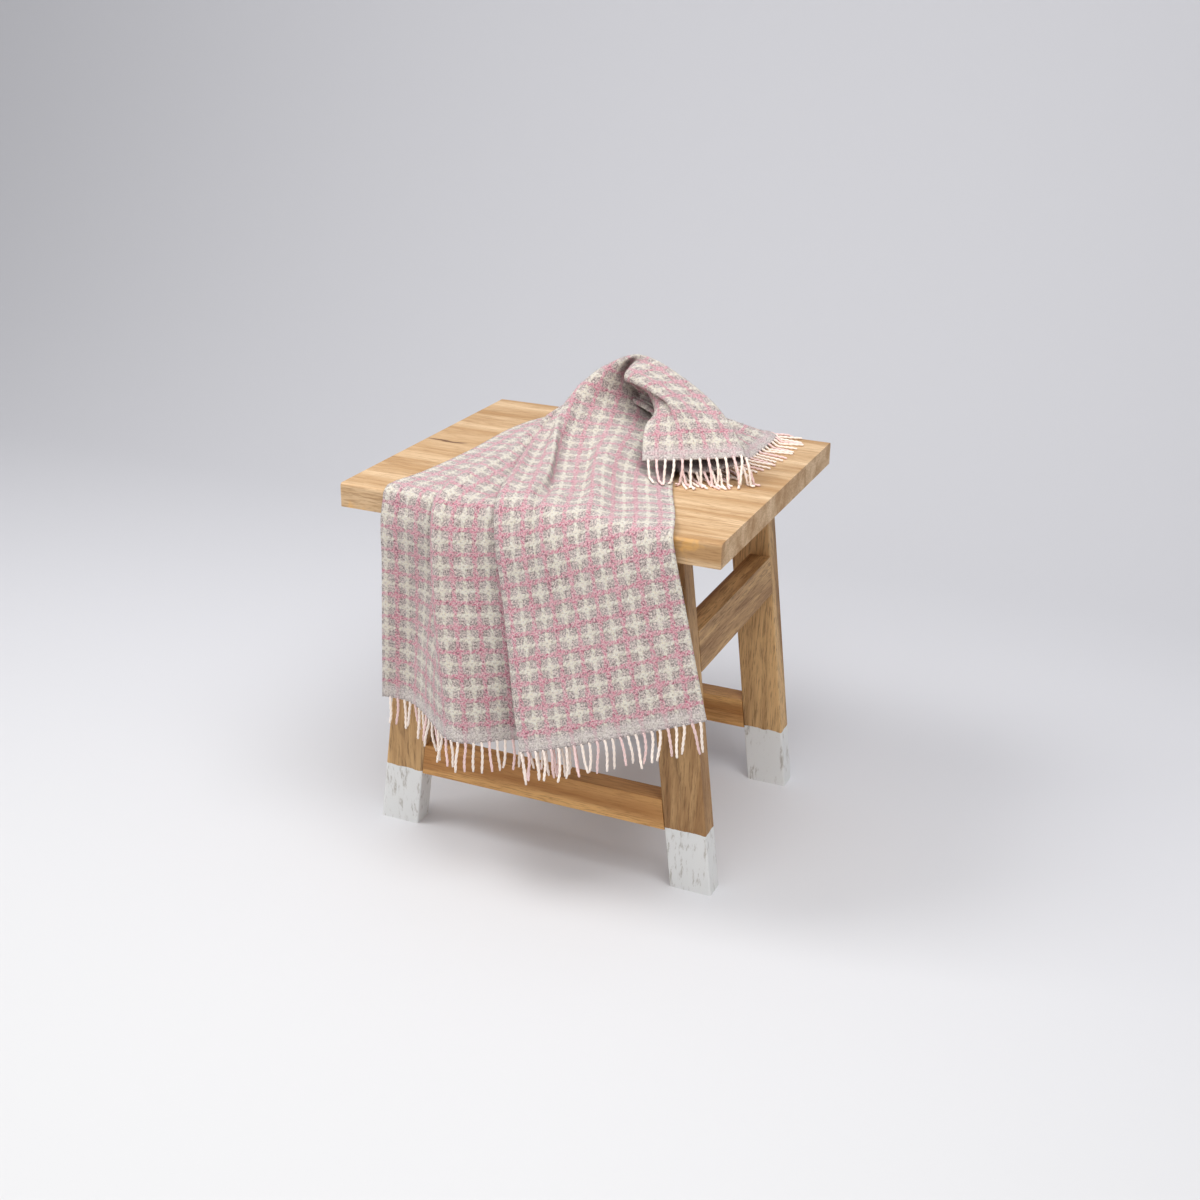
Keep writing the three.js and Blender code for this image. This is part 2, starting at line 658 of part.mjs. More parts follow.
// Rail from front leg to back leg on one side, its outer face flush with the legs'
function sideRailGeometry(side) {
  const { bottom, top, thickness } = SIDE_RAIL;
  const outline = new THREE.Shape();
  outline.moveTo(side * legOuter(bottom), bottom);
  outline.lineTo(side * legOuter(top), top);
  outline.lineTo(side * (legOuter(top) - thickness), top);
  outline.lineTo(side * (legOuter(bottom) - thickness), bottom);
  outline.closePath();
  const length = 2 * (LEG_OUTER_Y - LEG_THICKNESS - GAP);
  const geometry = new THREE.ExtrudeGeometry(outline, { depth: length, bevelEnabled: false });
  geometry.rotateX(Math.PI / 2);
  geometry.translate(0, length / 2, 0);
  return geometry;
}

const object = new THREE.Group();

function addPiece(name, geometry, color, roughness) {
  const material = new THREE.MeshStandardMaterial({ color, roughness, metalness: 0 });
  const mesh = new THREE.Mesh(geometry, material);
  mesh.name = name;
  object.add(mesh);
}

const PALE_WOOD = 0xcf9f62;
const BROWN_WOOD = 0xa8794a;
const WOOL = 0xd9cdca;
const WOOL_TWIST = 0xe6d8d4;

for (let k = 0; k < PLANK_SEAMS.length - 1; k++) {
  addPiece(`top_plank_${k + 1}`, plankGeometry(PLANK_SEAMS[k], PLANK_SEAMS[k + 1]), PALE_WOOD, 0.6);
}
for (const [endName, end] of [['front', -1], ['back', 1]]) {
  for (const [sideName, side] of [['left', -1], ['right', 1]]) {
    addPiece(`leg_${endName}_${sideName}`, legGeometry(side, end), BROWN_WOOD, 0.65);
  }
  addPiece(`foot_rail_${endName}`, footRailGeometry(end), PALE_WOOD, 0.65);
}
addPiece('side_rail_left', sideRailGeometry(-1), BROWN_WOOD, 0.65);
addPiece('side_rail_right', sideRailGeometry(1), BROWN_WOOD, 0.65);

const cloth = drape();
addPiece('blanket', clothGeometry(cloth, CLOTH_THICKNESS), WOOL, 0.95);
addPiece('front_fringe', fringeGeometry(cloth, false), WOOL_TWIST, 0.95);
addPiece('far_fringe', fringeGeometry(cloth, true), WOOL_TWIST, 0.95);

// The whole is moved so that the origin is the middle of its footprint, on the floor
object.updateMatrixWorld(true);
const middle = new THREE.Box3().setFromObject(object).getCenter(new THREE.Vector3());
object.position.set(-middle.x, -middle.y, 0);

export default object;
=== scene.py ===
# %% [markdown]
# A checked woollen baby blanket, draped over a small plank-topped stool. The wooden pieces come from
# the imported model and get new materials. The cloth and its fringes are made here, finer than the
# plain solids that they stand for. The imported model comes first, as a fixed frame in metres, because
# a piece that is worked out from it needs no fitting afterwards.

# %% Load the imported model
import math

import bpy
import numpy as np
from mathutils import Matrix, Vector


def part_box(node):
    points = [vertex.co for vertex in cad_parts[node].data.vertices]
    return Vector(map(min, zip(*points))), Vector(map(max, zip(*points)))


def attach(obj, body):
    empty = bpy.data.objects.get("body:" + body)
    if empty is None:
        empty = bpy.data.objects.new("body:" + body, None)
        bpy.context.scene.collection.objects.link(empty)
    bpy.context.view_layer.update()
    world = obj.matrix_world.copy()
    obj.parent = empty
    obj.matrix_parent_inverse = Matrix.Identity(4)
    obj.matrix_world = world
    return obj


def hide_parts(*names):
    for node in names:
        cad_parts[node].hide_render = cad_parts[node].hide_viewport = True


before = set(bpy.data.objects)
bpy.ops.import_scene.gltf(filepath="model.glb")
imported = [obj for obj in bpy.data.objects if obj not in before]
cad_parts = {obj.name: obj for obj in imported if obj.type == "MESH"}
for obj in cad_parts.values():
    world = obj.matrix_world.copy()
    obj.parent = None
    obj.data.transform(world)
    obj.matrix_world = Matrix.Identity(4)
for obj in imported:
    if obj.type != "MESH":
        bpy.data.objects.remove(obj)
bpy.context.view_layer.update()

print("nodes:", ", ".join(sorted(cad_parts)))

# %% [markdown]
# A maker measures a stool from the floor and from the middle of its top, and so do the places below,
# in millimetres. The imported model's origin is the middle of the whole footprint instead. The shift
# between the two could be typed in, but the corner of the top's front plank gives it exactly.

# %% Where the stool stands in the frame
MM = 0.001
TOP_LENGTH = 570.0
TOP_DEPTH = 510.0
TOP_HEIGHT = 565.0
plank_corner = np.array(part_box("top_plank_1")[0]) / MM
SHIFT = np.array([plank_corner[0] + TOP_LENGTH / 2, plank_corner[1] + TOP_DEPTH / 2, 0.0])
print("shift of the stool in mm:", SHIFT.round(2))

# %% [markdown]
# The photograph was taken from the right and from above, with the camera turned a little to the
# left. A camera could be moved by hand until the picture looks right. Here its place and turn were
# worked out from the stool's straight edges, so that the render lines up with the photograph.

# %% Camera
CAMERA_PLACE = np.array([880.6, -2045.3, 1259.4])
CAMERA_PITCH = math.radians(22.375)
CAMERA_YAW = math.radians(23.106)
CAMERA_ROLL = math.radians(1.027)
LENS = 50.0
SENSOR = 38.33


def camera_axes():
    """Right, up and forward of the camera: yaw about Z, then pitch down, then roll about the view."""
    forward = np.array([
        -math.sin(CAMERA_YAW) * math.cos(CAMERA_PITCH),
        math.cos(CAMERA_YAW) * math.cos(CAMERA_PITCH),
        -math.sin(CAMERA_PITCH),
    ])
    level = np.array([math.cos(CAMERA_YAW), math.sin(CAMERA_YAW), 0.0])
    lift = np.cross(level, forward)
    right = math.cos(CAMERA_ROLL) * level + math.sin(CAMERA_ROLL) * lift
    up = math.cos(CAMERA_ROLL) * lift - math.sin(CAMERA_ROLL) * level
    return right, up, forward


lens = bpy.data.cameras.new("camera")
lens.lens = LENS
lens.sensor_width = SENSOR
camera = bpy.data.objects.new("camera", lens)
bpy.context.collection.objects.link(camera)
right, up, forward = camera_axes()
place = (CAMERA_PLACE + SHIFT) * MM
camera.matrix_world = Matrix([
    [right[0], up[0], -forward[0], place[0]],
    [right[1], up[1], -forward[1], place[1]],
    [right[2], up[2], -forward[2], place[2]],
    [0.0, 0.0, 0.0, 1.0],
])
bpy.context.scene.camera = camera
print("camera at", place.round(3))

# %% [markdown]
# Cloth and strands are surfaces on a grid of points with two parameters. They could be modelled with
# Blender's own tools, but a formula gives the same result every time. One helper turns points and
# faces into a piece, and another one numbers the faces of a grid. It can close the grid round, so
# that a strand is made by the same few lines as a cloth.


# %% Grids into meshes
def add_mesh(name, points, faces, flat_places, smooth=True):
    """A piece from points in mm, faces by index and, for each point, its place on the flat cloth:
    a vertex is (point + SHIFT) * MM, and the flat place in metres is kept as the UV map."""
    mesh = bpy.data.meshes.new(name)
    mesh.from_pydata(((points + SHIFT) * MM).tolist(), [], faces)
    mesh.polygons.foreach_set("use_smooth", np.full(len(mesh.polygons), smooth))
    layer = mesh.uv_layers.new(name="flat")
    corners = np.empty(len(mesh.loops), dtype=np.int32)
    mesh.loops.foreach_get("vertex_index", corners)
    layer.data.foreach_set("uv", (flat_places[corners] * MM).astype(np.float32).ravel())
    mesh.update()
    piece = bpy.data.objects.new(name, mesh)
    bpy.context.collection.objects.link(piece)
    return piece


def grid_faces(rows, columns, round_columns=False):
    """Quads of a grid of rows by columns, counted row by row; the last column may join the first.
    Quad (i, j) has the corners (i, j), (i, j + 1), (i + 1, j + 1) and (i + 1, j)."""
    index = np.arange(rows * columns).reshape(rows, columns)
    after = np.roll(index, -1, axis=1) if round_columns else index[:, 1:]
    here = index if round_columns else index[:, :-1]
    quads = np.stack([here[:-1], after[:-1], after[1:], here[1:]], axis=-1)
    return quads.reshape(-1, 4)


# %% [markdown]
# The drape. The blanket hangs over the stool's front edge in two pleats, and its far part is gathered
# up and turned back to the right. It could be dropped on the stool as a simulated cloth, but then the
# folds fall where they like. It is easier to describe a drape by its folds: lines that run from the
# front hem over the stool's edge to the far hem. Each line is a short list of places, and the cloth
# between them is a smooth surface through all the lines.

# %% The fold lines
CLOTH_WIDTH = 730.0
CLOTH_LENGTH = 1000.0
# name, place across the flat cloth, hold on the hanging part, on the top and on the far part, path
FOLDS = [
    ("left selvedge", 0, 0.10, 0.10, 0.06, [
        (-212, -262, 250), (-207, -262, 355), (-204, -262, 460), (-203, -262, 548), (-203, -252, 568),
        (-197, -190, 568), (-180, -41, 568), (-184, 36, 568), (-187, 118, 569), (-165, 190, 570),
        (-118, 248, 567), (-52, 262, 530), (40, 263, 494),
    ]),
    ("left panel", 68, 0.10, 0.05, 0.05, [
        (-171, -258, 249), (-160, -260, 355), (-152, -261, 460), (-148, -263, 548), (-147, -252, 569),
        (-138, -190, 570), (-122, -60, 572), (-120, 30, 578), (-128, 112, 585), (-104, 180, 590),
        (-40, 236, 578), (40, 262, 545), (112, 264, 524),
    ]),
    ("first tuck", 105, 0.04, 0.03, 0.05, [
        (-128, -290, 247), (-128, -286, 345), (-120, -268, 455), (-114, -264, 548), (-112, -253, 568),
        (-104, -190, 568), (-92, -75, 568), (-92, 22, 574), (-112, 98, 596), (-78, 164, 604),
        (-6, 222, 596), (78, 256, 560), (148, 263, 542),
    ]),
    ("first ridge", 158, 0.12, 0.05, 0.30, [
        (-72, -345, 244), (-93, -322, 340), (-110, -298, 450), (-117, -284, 548), (-118, -264, 582),
        (-112, -190, 592), (-104, -90, 594), (-104, 10, 600), (-100, 80, 612), (-56, 126, 618),
        (20, 176, 608), (108, 222, 586), (212, 244, 568),
    ]),
    ("middle panel", 262, 0.10, 0.05, 0.10, [
        (2, -292, 242), (-12, -285, 340), (-26, -276, 450), (-36, -264, 548), (-38, -255, 568),
        (-22, -190, 567), (-12, -90, 567), (-12, 0, 567), (-70, 60, 590), (-80, 110, 625),
        (0, 150, 640), (110, 160, 605), (208, 140, 568),
    ]),
    ("inner panel", 310, 0.05, 0.03, 0.05, [
        (50, -289, 249), (36, -282, 342), (20, -273, 450), (7, -264, 548), (4, -254, 568),
        (26, -190, 567), (36, -90, 567), (36, 0, 568), (-22, 56, 586), (-40, 112, 618), (36, 146, 634),
        (124, 132, 602), (198, 92, 568),
    ]),
    ("hidden turn", 358, 0.04, 0.02, 0.03, [
        (98, -284, 256), (84, -277, 345), (66, -270, 450), (50, -266, 548), (46, -255, 570),
        (46, -190, 571), (26, -90, 573), (2, 0, 576), (-46, 68, 594), (-56, 116, 630), (36, 134, 642),
        (136, 100, 604), (186, 42, 569),
    ]),
    ("second ridge", 455, 0.15, 0.08, 0.05, [
        (30, -325, 240), (14, -310, 330), (-6, -290, 440), (-26, -277, 548), (-34, -261, 583),
        (-52, -180, 592), (-72, -100, 592), (-96, -5, 594), (-112, 76, 608), (-88, 108, 640),
        (10, 122, 652), (92, 60, 622), (154, -58, 574),
    ]),
    ("under layer", 515, 0.08, 0.03, 0.05, [
        (84, -320, 258), (66, -306, 345), (44, -288, 450), (22, -277, 548), (16, -260, 580),
        (-4, -180, 584), (-36, -90, 594), (-66, 0, 612), (-82, 80, 644), (-50, 112, 670),
        (30, 124, 668), (118, 76, 628), (192, -32, 578),
    ]),
    ("right fold", 580, 0.08, 0.04, 0.30, [
        (144, -312, 280), (124, -300, 365), (102, -284, 460), (82, -270, 548), (72, -256, 573),
        (50, -170, 578), (6, -60, 594), (-30, 20, 618), (-46, 86, 654), (-14, 96, 700), (56, 86, 704),
        (146, 70, 660), (246, -2, 598),
    ]),
    ("right panel", 655, 0.08, 0.05, 0.30, [
        (214, -302, 305), (192, -292, 385), (168, -280, 470), (146, -268, 548), (138, -254, 568),
        (116, -180, 572), (62, -90, 586), (28, -24, 610), (20, 40, 616), (34, 128, 640), (10, 44, 694),
        (110, 26, 668), (170, -30, 601),
    ]),
    ("right selvedge", 730, 0.12, 0.12, 0.35, [
        (283, -285, 328), (258, -274, 410), (232, -266, 490), (214, -262, 548), (211, -254, 568),
        (183, -188, 568), (144, -92, 568), (134, -10, 567), (156, 80, 568), (116, 144, 596),
        (40, 96, 655), (84, 18, 650), (90, -68, 599),
    ]),
]
EDGE_POINT = 4
MEASURED_POINTS = 7
FAR_POINT = 9
EDGE_CHANGE = (-20, 40)
FAR_CHANGE = (-40, 60)
ACROSS_CELLS = [(262, 14), (358, 7), (551, 14), (CLOTH_WIDTH, 9)]
ALONG_CELLS = [(234, 12), (354, 12), (CLOTH_LENGTH, 32)]


def grid_lines(stretches):
    """Places of the grid lines: each stretch, up to its end, has its own number of even cells."""
    lines = [0.0]
    for end, cells in stretches:
        lines.extend(np.linspace(lines[-1], end, cells + 1)[1:])
    return np.array(lines)


def smooth_at(knots, points, places):
    """Cubic Hermite curve through points at uneven knots. Each slope is the mean of the two chords'
    slopes, weighted by the length of the other chord; an end takes the slope of its one chord."""
    h = np.diff(knots)
    chord = np.diff(points, axis=0) / h.reshape(-1, *[1] * (points.ndim - 1))
    before = h[:-1].reshape(-1, *[1] * (points.ndim - 1))
    after = h[1:].reshape(-1, *[1] * (points.ndim - 1))
    middle = (chord[:-1] * after + chord[1:] * before) / (before + after)
    slope = np.concatenate([chord[:1], middle, chord[-1:]])
    k = np.clip(np.searchsorted(knots, places, side="right") - 1, 0, len(h) - 1)
    width = h[k].reshape(-1, *[1] * (points.ndim - 1))
    s = ((places - knots[k]) / h[k]).reshape(-1, *[1] * (points.ndim - 1))
    return (
        (2 * s**3 - 3 * s**2 + 1) * points[k]
        + (s**3 - 2 * s**2 + s) * width * slope[k]
        + (-2 * s**3 + 3 * s**2) * points[k + 1]
        + (s**3 - s**2) * width * slope[k + 1]
    )


def fold_knots(path):
    """Lengths along a fold, the sums of its chords. Past the last measured point they are stretched
    to start + (length - start) * (CLOTH_LENGTH - start) / (end - start)."""
    lengths = np.concatenate([[0.0], np.cumsum(np.linalg.norm(np.diff(path, axis=0), axis=1))])
    start = lengths[MEASURED_POINTS]
    stretched = start + (lengths - start) * (CLOTH_LENGTH - start) / (lengths[-1] - start)
    return np.where(np.arange(len(path)) <= MEASURED_POINTS, lengths, stretched)


def loft_folds(across, along):
    """The surface through the fold lines, and how firmly each of its points keeps its place: first
    curves along every fold, then curves across them. The hold changes evenly over a short stretch."""
    places = np.array([fold[1] for fold in FOLDS], float)
    rows, firm = [], []
    for _, _, hang, top, far, path in FOLDS:
        path = np.array(path, float)
        knots = fold_knots(path)
        rows.append(smooth_at(knots, path, along))
        changes = [knots[EDGE_POINT] + step for step in EDGE_CHANGE]
        changes += [knots[FAR_POINT] + step for step in FAR_CHANGE]
        firm.append(np.interp(along, changes, [hang, top, top, far]))
    surface = smooth_at(places, np.array(rows), across)
    hold = np.array([np.interp(across, places, column) for column in np.array(firm).T])
    return surface.transpose(1, 0, 2), hold[..., None]


across = grid_lines(ACROSS_CELLS)
along = grid_lines(ALONG_CELLS)
lofted, hold = loft_folds(across, along)
print("lofted grid:", lofted.shape)

# %% [markdown]
# Settling. Real wool neither stretches much nor passes through the stool, and a lofted surface does
# both. Blender's Cloth could mend that, but it would lose the folds. So the cloth sinks a little, is
# smoothed and is pulled back towards its fold lines, and then every stretch of it is brought back to
# its own length. Last, its layers are held apart and it is put back outside the stool. A few hundred
# rounds of this make a believable drape in seconds.

# %% Settle the cloth on the stool
ROUNDS = 300
PASSES = 2
SINK = 0.15
SMOOTH = 0.12
SHEAR = 0.3
SOFTENING = 1
SOFTENED = 0.15
APART = 5.0
PUSH = 0.25
TINY = 1e-9
CLOTH_OFF = 1.9
CLOTH_REST = TOP_HEIGHT + CLOTH_OFF
CLOTH_FACE = TOP_DEPTH / 2 + CLOTH_OFF
TURN_HEIGHT = TOP_HEIGHT - 20
EDGE_ROLL_Y = 247.0
EDGE_ROLL_Z = 557.0
EDGE_ROLL_RADIUS = 13.5


def pull(cloth, first, second, rest, share):
    """Moves both ends of each stretch along it until it has its rest length, or a share of the way:
    each end by half of the stretch times (length - rest) / length."""
    apart = cloth[second] - cloth[first]
    length = np.linalg.norm(apart, axis=-1, keepdims=True) + TINY
    move = apart * ((length - rest) / length) * (0.5 * share)
    cloth[first] += move
    cloth[second] -= move


def keep_lengths(cloth, du, dv):
    """Stretches across, then along, then both diagonals, each in odd and even turns."""
    for odd in (0, 1):
        pull(cloth, np.s_[:, odd:-1:2], np.s_[:, odd + 1::2], du[None, odd::2, None], 1.0)
    for odd in (0, 1):
        pull(cloth, np.s_[odd:-1:2], np.s_[odd + 1::2], dv[odd::2, None, None], 1.0)
    slant = np.sqrt(du[None, :] ** 2 + dv[:, None] ** 2)[..., None]
    for row in (0, 1):
        for column in (0, 1):
            rest = slant[row::2, column::2]
            low, high = slice(row, -1, 2), slice(row + 1, None, 2)
            left, right = slice(column, -1, 2), slice(column + 1, None, 2)
            pull(cloth, (low, left), (high, right), rest, SHEAR)
            pull(cloth, (high, left), (low, right), rest, SHEAR)


def keep_apart(cloth):
    """Holds each point of a row off every stretch of the same row that isn't next to it: where the
    nearest spot of the stretch is closer than APART, both move away by PUSH of what is missing."""
    count = cloth.shape[1]
    start, side = cloth[:, :-1], np.diff(cloth, axis=1)
    size = np.einsum("rsc,rsc->rs", side, side)[..., None] + TINY
    away = cloth[:, None] - start[:, :, None]
    share = np.clip(np.einsum("rspc,rsc->rsp", away, side) / size, 0, 1)
    off = away - share[..., None] * side[:, :, None]
    reach = np.sqrt(np.einsum("rspc,rspc->rsp", off, off)) + TINY
    gap = np.arange(count)[None, :] - np.arange(count - 1)[:, None]
    other = (gap < -1) | (gap > 2)
    move = np.where(other & (reach < APART), PUSH * (APART - reach) / reach, 0.0)[..., None] * off
    push = np.zeros_like(cloth)
    push += move.sum(axis=1)
    push[:, :-1] -= ((1 - share)[..., None] * move).sum(axis=2)
    push[:, 1:] -= (share[..., None] * move).sum(axis=2)
    cloth += push


def stay_off(cloth):
    """Puts the cloth outside the stool: up to CLOTH_REST over the top, out to CLOTH_FACE below it,
    and out to EDGE_ROLL_RADIUS from a line inside each edge, so that it turns over in a soft curve."""
    side = np.where(cloth[..., 1] < 0, -1.0, 1.0)
    within = side * cloth[..., 1] < CLOTH_FACE
    high = cloth[..., 2] > TURN_HEIGHT
    sunk = within & high & (cloth[..., 2] < CLOTH_REST)
    inside = within & ~high
    cloth[..., 2] = np.where(sunk, CLOTH_REST, cloth[..., 2])
    cloth[..., 1] = np.where(inside, side * CLOTH_FACE, cloth[..., 1])
    axis_y = side * EDGE_ROLL_Y
    dy = cloth[..., 1] - axis_y
    dz = cloth[..., 2] - EDGE_ROLL_Z
    out = np.sqrt(dy * dy + dz * dz) + TINY
    near = out < EDGE_ROLL_RADIUS
    cloth[..., 1] = np.where(near, axis_y + dy * EDGE_ROLL_RADIUS / out, cloth[..., 1])
    cloth[..., 2] = np.where(near, EDGE_ROLL_Z + dz * EDGE_ROLL_RADIUS / out, cloth[..., 2])


def smoothed(cloth, du, dv, amount=SMOOTH):
    """Each point moves a little towards the line between its neighbours, across and along:
    by amount * (change of slope) * (mean of the two cells beside it)."""
    result = cloth.copy()
    bend = np.diff(cloth, axis=0) / dv[:, None, None]
    result[1:-1] += amount * np.diff(bend, axis=0) * ((dv[1:] + dv[:-1]) / 2)[:, None, None]
    bend = np.diff(cloth, axis=1) / du[None, :, None]
    result[:, 1:-1] += amount * np.diff(bend, axis=1) * ((du[1:] + du[:-1]) / 2)[None, :, None]
    return result


def settle(target, hold, across, along):
    """Rounds of: z - SINK, smoothing, + hold * (target - cloth), then lengths, layers and stool."""
    cloth = target.copy()
    du, dv = np.diff(across), np.diff(along)
    for _ in range(ROUNDS):
        cloth[..., 2] -= SINK
        cloth = smoothed(cloth, du, dv)
        cloth += hold * (target - cloth)
        for _ in range(PASSES):
            keep_lengths(cloth, du, dv)
            keep_apart(cloth)
            stay_off(cloth)
    for _ in range(SOFTENING):
        cloth = smoothed(cloth, du, dv, SOFTENED)
        stay_off(cloth)
    return cloth


settled = settle(lofted, hold, across, along)
stretch = np.linalg.norm(np.diff(settled, axis=1), axis=-1) / np.diff(across)
print("stretch across, 5 to 95 per cent:", np.percentile(stretch, [5, 95]).round(3))
print("highest point of the drape:", settled[..., 2].max().round(1), "mm")

# %% [markdown]
# The settled grid is coarse, and real wool is soft and a little uneven. Subdivision could smooth it,
# but then a point's place on the flat cloth, which the weave needs, would have to be guessed. So the
# visible cloth is the same surface at every 4 mm, with the low relief of a brushed check on it: the
# woven squares swell a little and the sheet isn't quite even.

# %% The fine cloth
FINE = 4.0
CHECK_REPEAT = 34.3
FIRST_PINK_COLUMN = 24.0
FIRST_PINK_ROW = 27.0
PLAIN_HEM = 24.0
CLOTH_THICKNESS = 2.6
RELIEF = 0.35
UNEVEN = 0.5


def refine(grid, across, along, fine_across, fine_along):
    """The smooth surface through a coarse grid: curves along it first, then curves across."""
    tall = smooth_at(along, grid, fine_along)
    return smooth_at(across, tall.transpose(1, 0, 2), fine_across).transpose(1, 0, 2)


def grid_normals(grid):
    """Unit way out of the cloth's face: the step across times the step along."""
    normal = np.cross(np.gradient(grid, axis=1), np.gradient(grid, axis=0))
    return normal / np.linalg.norm(normal, axis=-1, keepdims=True)


def soft_waves(u, v, seed, count=7, shortest=38.0, longest=120.0):
    """A gentle unevenness from -1 to 1: the mean of sin(2 pi (u cos a + v sin a) / length + phase)
    over waves of random angle, length and phase."""
    random = np.random.default_rng(seed)
    total = np.zeros_like(u)
    for _ in range(count):
        turn = random.uniform(0, math.tau)
        length = random.uniform(shortest, longest)
        phase = random.uniform(0, math.tau)
        total += np.sin(math.tau * (u * math.cos(turn) + v * math.sin(turn)) / length + phase)
    return total / count


fine_across = np.linspace(0, CLOTH_WIDTH, round(CLOTH_WIDTH / FINE) + 1)
fine_along = np.linspace(0, CLOTH_LENGTH, round(CLOTH_LENGTH / FINE) + 1)
U, V = np.meshgrid(fine_across, fine_along)
fine = refine(settled, across, along, fine_across, fine_along)
out_of_face = grid_normals(fine)
swell = np.cos(math.tau * 2 * (U - FIRST_PINK_COLUMN) / CHECK_REPEAT)
swell = swell * np.cos(math.tau * 2 * (V - FIRST_PINK_ROW) / CHECK_REPEAT)
relief = RELIEF * swell + UNEVEN * soft_waves(U, V, seed=3)
resting = (fine[..., 2] < CLOTH_REST + 1) & (np.abs(fine[..., 1]) < TOP_DEPTH / 2)
relief = np.where(resting, np.maximum(relief, 0), relief)
fine = fine + relief[..., None] * out_of_face

blanket = add_mesh("blanket_cloth", fine.reshape(-1, 3), grid_faces(*fine.shape[:2]).tolist(),
                   np.stack([U, V], axis=-1).reshape(-1, 2))
shell = blanket.modifiers.new("thickness", "SOLIDIFY")
shell.thickness = CLOTH_THICKNESS * MM
shell.offset = 0
print("blanket points:", len(blanket.data.vertices))

# %% [markdown]
# The fringes. At each hem the warp ends are twisted into round strands, three to each repeat of the
# check. Hair curves would give a strand its length but not its twist, which shows from close by. So
# a strand is a two-ply section carried along a line. The line leaves the hem, droops, and lies down
# where it meets the stool's top or the cloth below it.

# %% Twisted strands
STRANDS = 63
STRAND_PITCH = CHECK_REPEAT / 3
FIRST_STRAND = 12.6
STRAND_LENGTH = 47.0
STRAND_RADIUS = 2.2
STRAND_RINGS = 26
STRAND_SIDES = 12
PLY_DEPTH = 0.17
TWIST_LENGTH = 17.0
TAPER_PLACES = [0, 4, STRAND_LENGTH - 3, STRAND_LENGTH]
TAPER = [1.1, 1.0, 0.95, 0.55]
ROOT_DEPTH = 1.5
HEM_ROWS = 3
UNEVEN_LENGTH = (0.9, 1.06)
DROOP = 0.05
FAR_DROOP = 0.072
UNEVEN_DROOP = (0.75, 1.25)
LEAN = 0.018
CURL = (0.008, 0.03)
CURL_HEIGHT = 0.6
UNDER_FRINGE = 560.0
UNDER_REACH = 5.0
NO_STRAND_WAY = np.array([0.31, 0.22, 0.93])


def hem_frames(places, far):
    """Point and outward way of the hem at the places across the cloth. The way goes from a point a
    few rows inside the cloth to the hem's own point."""
    row, inner = (-1, -1 - HEM_ROWS) if far else (0, HEM_ROWS)
    spots = []
    for source in (fine[row], fine[inner]):
        spots.append(np.stack([np.interp(places, fine_across, source[:, c]) for c in range(3)], -1))
    point, behind = spots
    outward = point - behind
    return point, outward / np.linalg.norm(outward, axis=-1, keepdims=True)


def lying_height(spots):
    """Height that a strand's middle keeps over the stool's top or over the cloth below it: the higher
    of the two, plus the strand's radius. Away from the top there is no such height."""
    under = fine[fine_along < UNDER_FRINGE].reshape(-1, 3)
    gap = np.linalg.norm(spots[:, None, :2] - under[None, :, :2], axis=-1)
    cloth = np.where(gap < UNDER_REACH, under[None, :, 2], 0).max(axis=1)
    height = np.maximum(cloth + CLOTH_THICKNESS / 2, TOP_HEIGHT) + STRAND_RADIUS
    over = (np.abs(spots[:, 1]) < TOP_DEPTH / 2) & (np.abs(spots[:, 0]) < TOP_LENGTH / 2)
    return np.where(over & (spots[:, 2] > TURN_HEIGHT), height, -np.inf)


def strand_lines(far, seed):
    """Middle lines of all strands of one hem, a point at each ring, shape (strands, rings, 3). Each
    ring is one step further along the way, and the way turns by a lean, a curl that goes round once
    over the strand, and a droop. A far strand is lifted off what lies below it."""
    random = np.random.default_rng(seed)
    places = FIRST_STRAND + np.arange(STRANDS) * STRAND_PITCH
    point, way = hem_frames(places, far)
    behind = point[:, 1] > TOP_DEPTH / 2
    step = STRAND_LENGTH / (STRAND_RINGS - 1) * random.uniform(*UNEVEN_LENGTH, (STRANDS, 1))
    droop = (FAR_DROOP if far else DROOP) * random.uniform(*UNEVEN_DROOP, STRANDS)
    lean = random.uniform(-1, 1, (STRANDS, 2)) * LEAN
    curl = random.uniform(*CURL, STRANDS)
    start = random.uniform(0, math.tau, STRANDS)
    here = point - way * ROOT_DEPTH
    lines = [here]
    for ring in range(1, STRAND_RINGS):
        bend = math.tau * ring / STRAND_RINGS
        way = way + np.stack([
            lean[:, 0] + curl * np.cos(start + bend),
            lean[:, 1] + curl * np.sin(start + bend) * CURL_HEIGHT,
            -droop,
        ], axis=-1)
        way /= np.linalg.norm(way, axis=-1, keepdims=True)
        here = here + way * step
        if far:
            height = lying_height(here)
            lies = (here[:, 2] < height) & ~behind
            hangs = np.maximum(here[:, 1], CLOTH_FACE + STRAND_RADIUS)
            here[:, 2] = np.where(lies, height, here[:, 2])
            here[:, 1] = np.where(behind, hangs, here[:, 1])
            way[:, 2] = np.where(lies, np.maximum(way[:, 2], 0), way[:, 2])
        lines.append(here)
    return np.stack(lines, axis=1), places


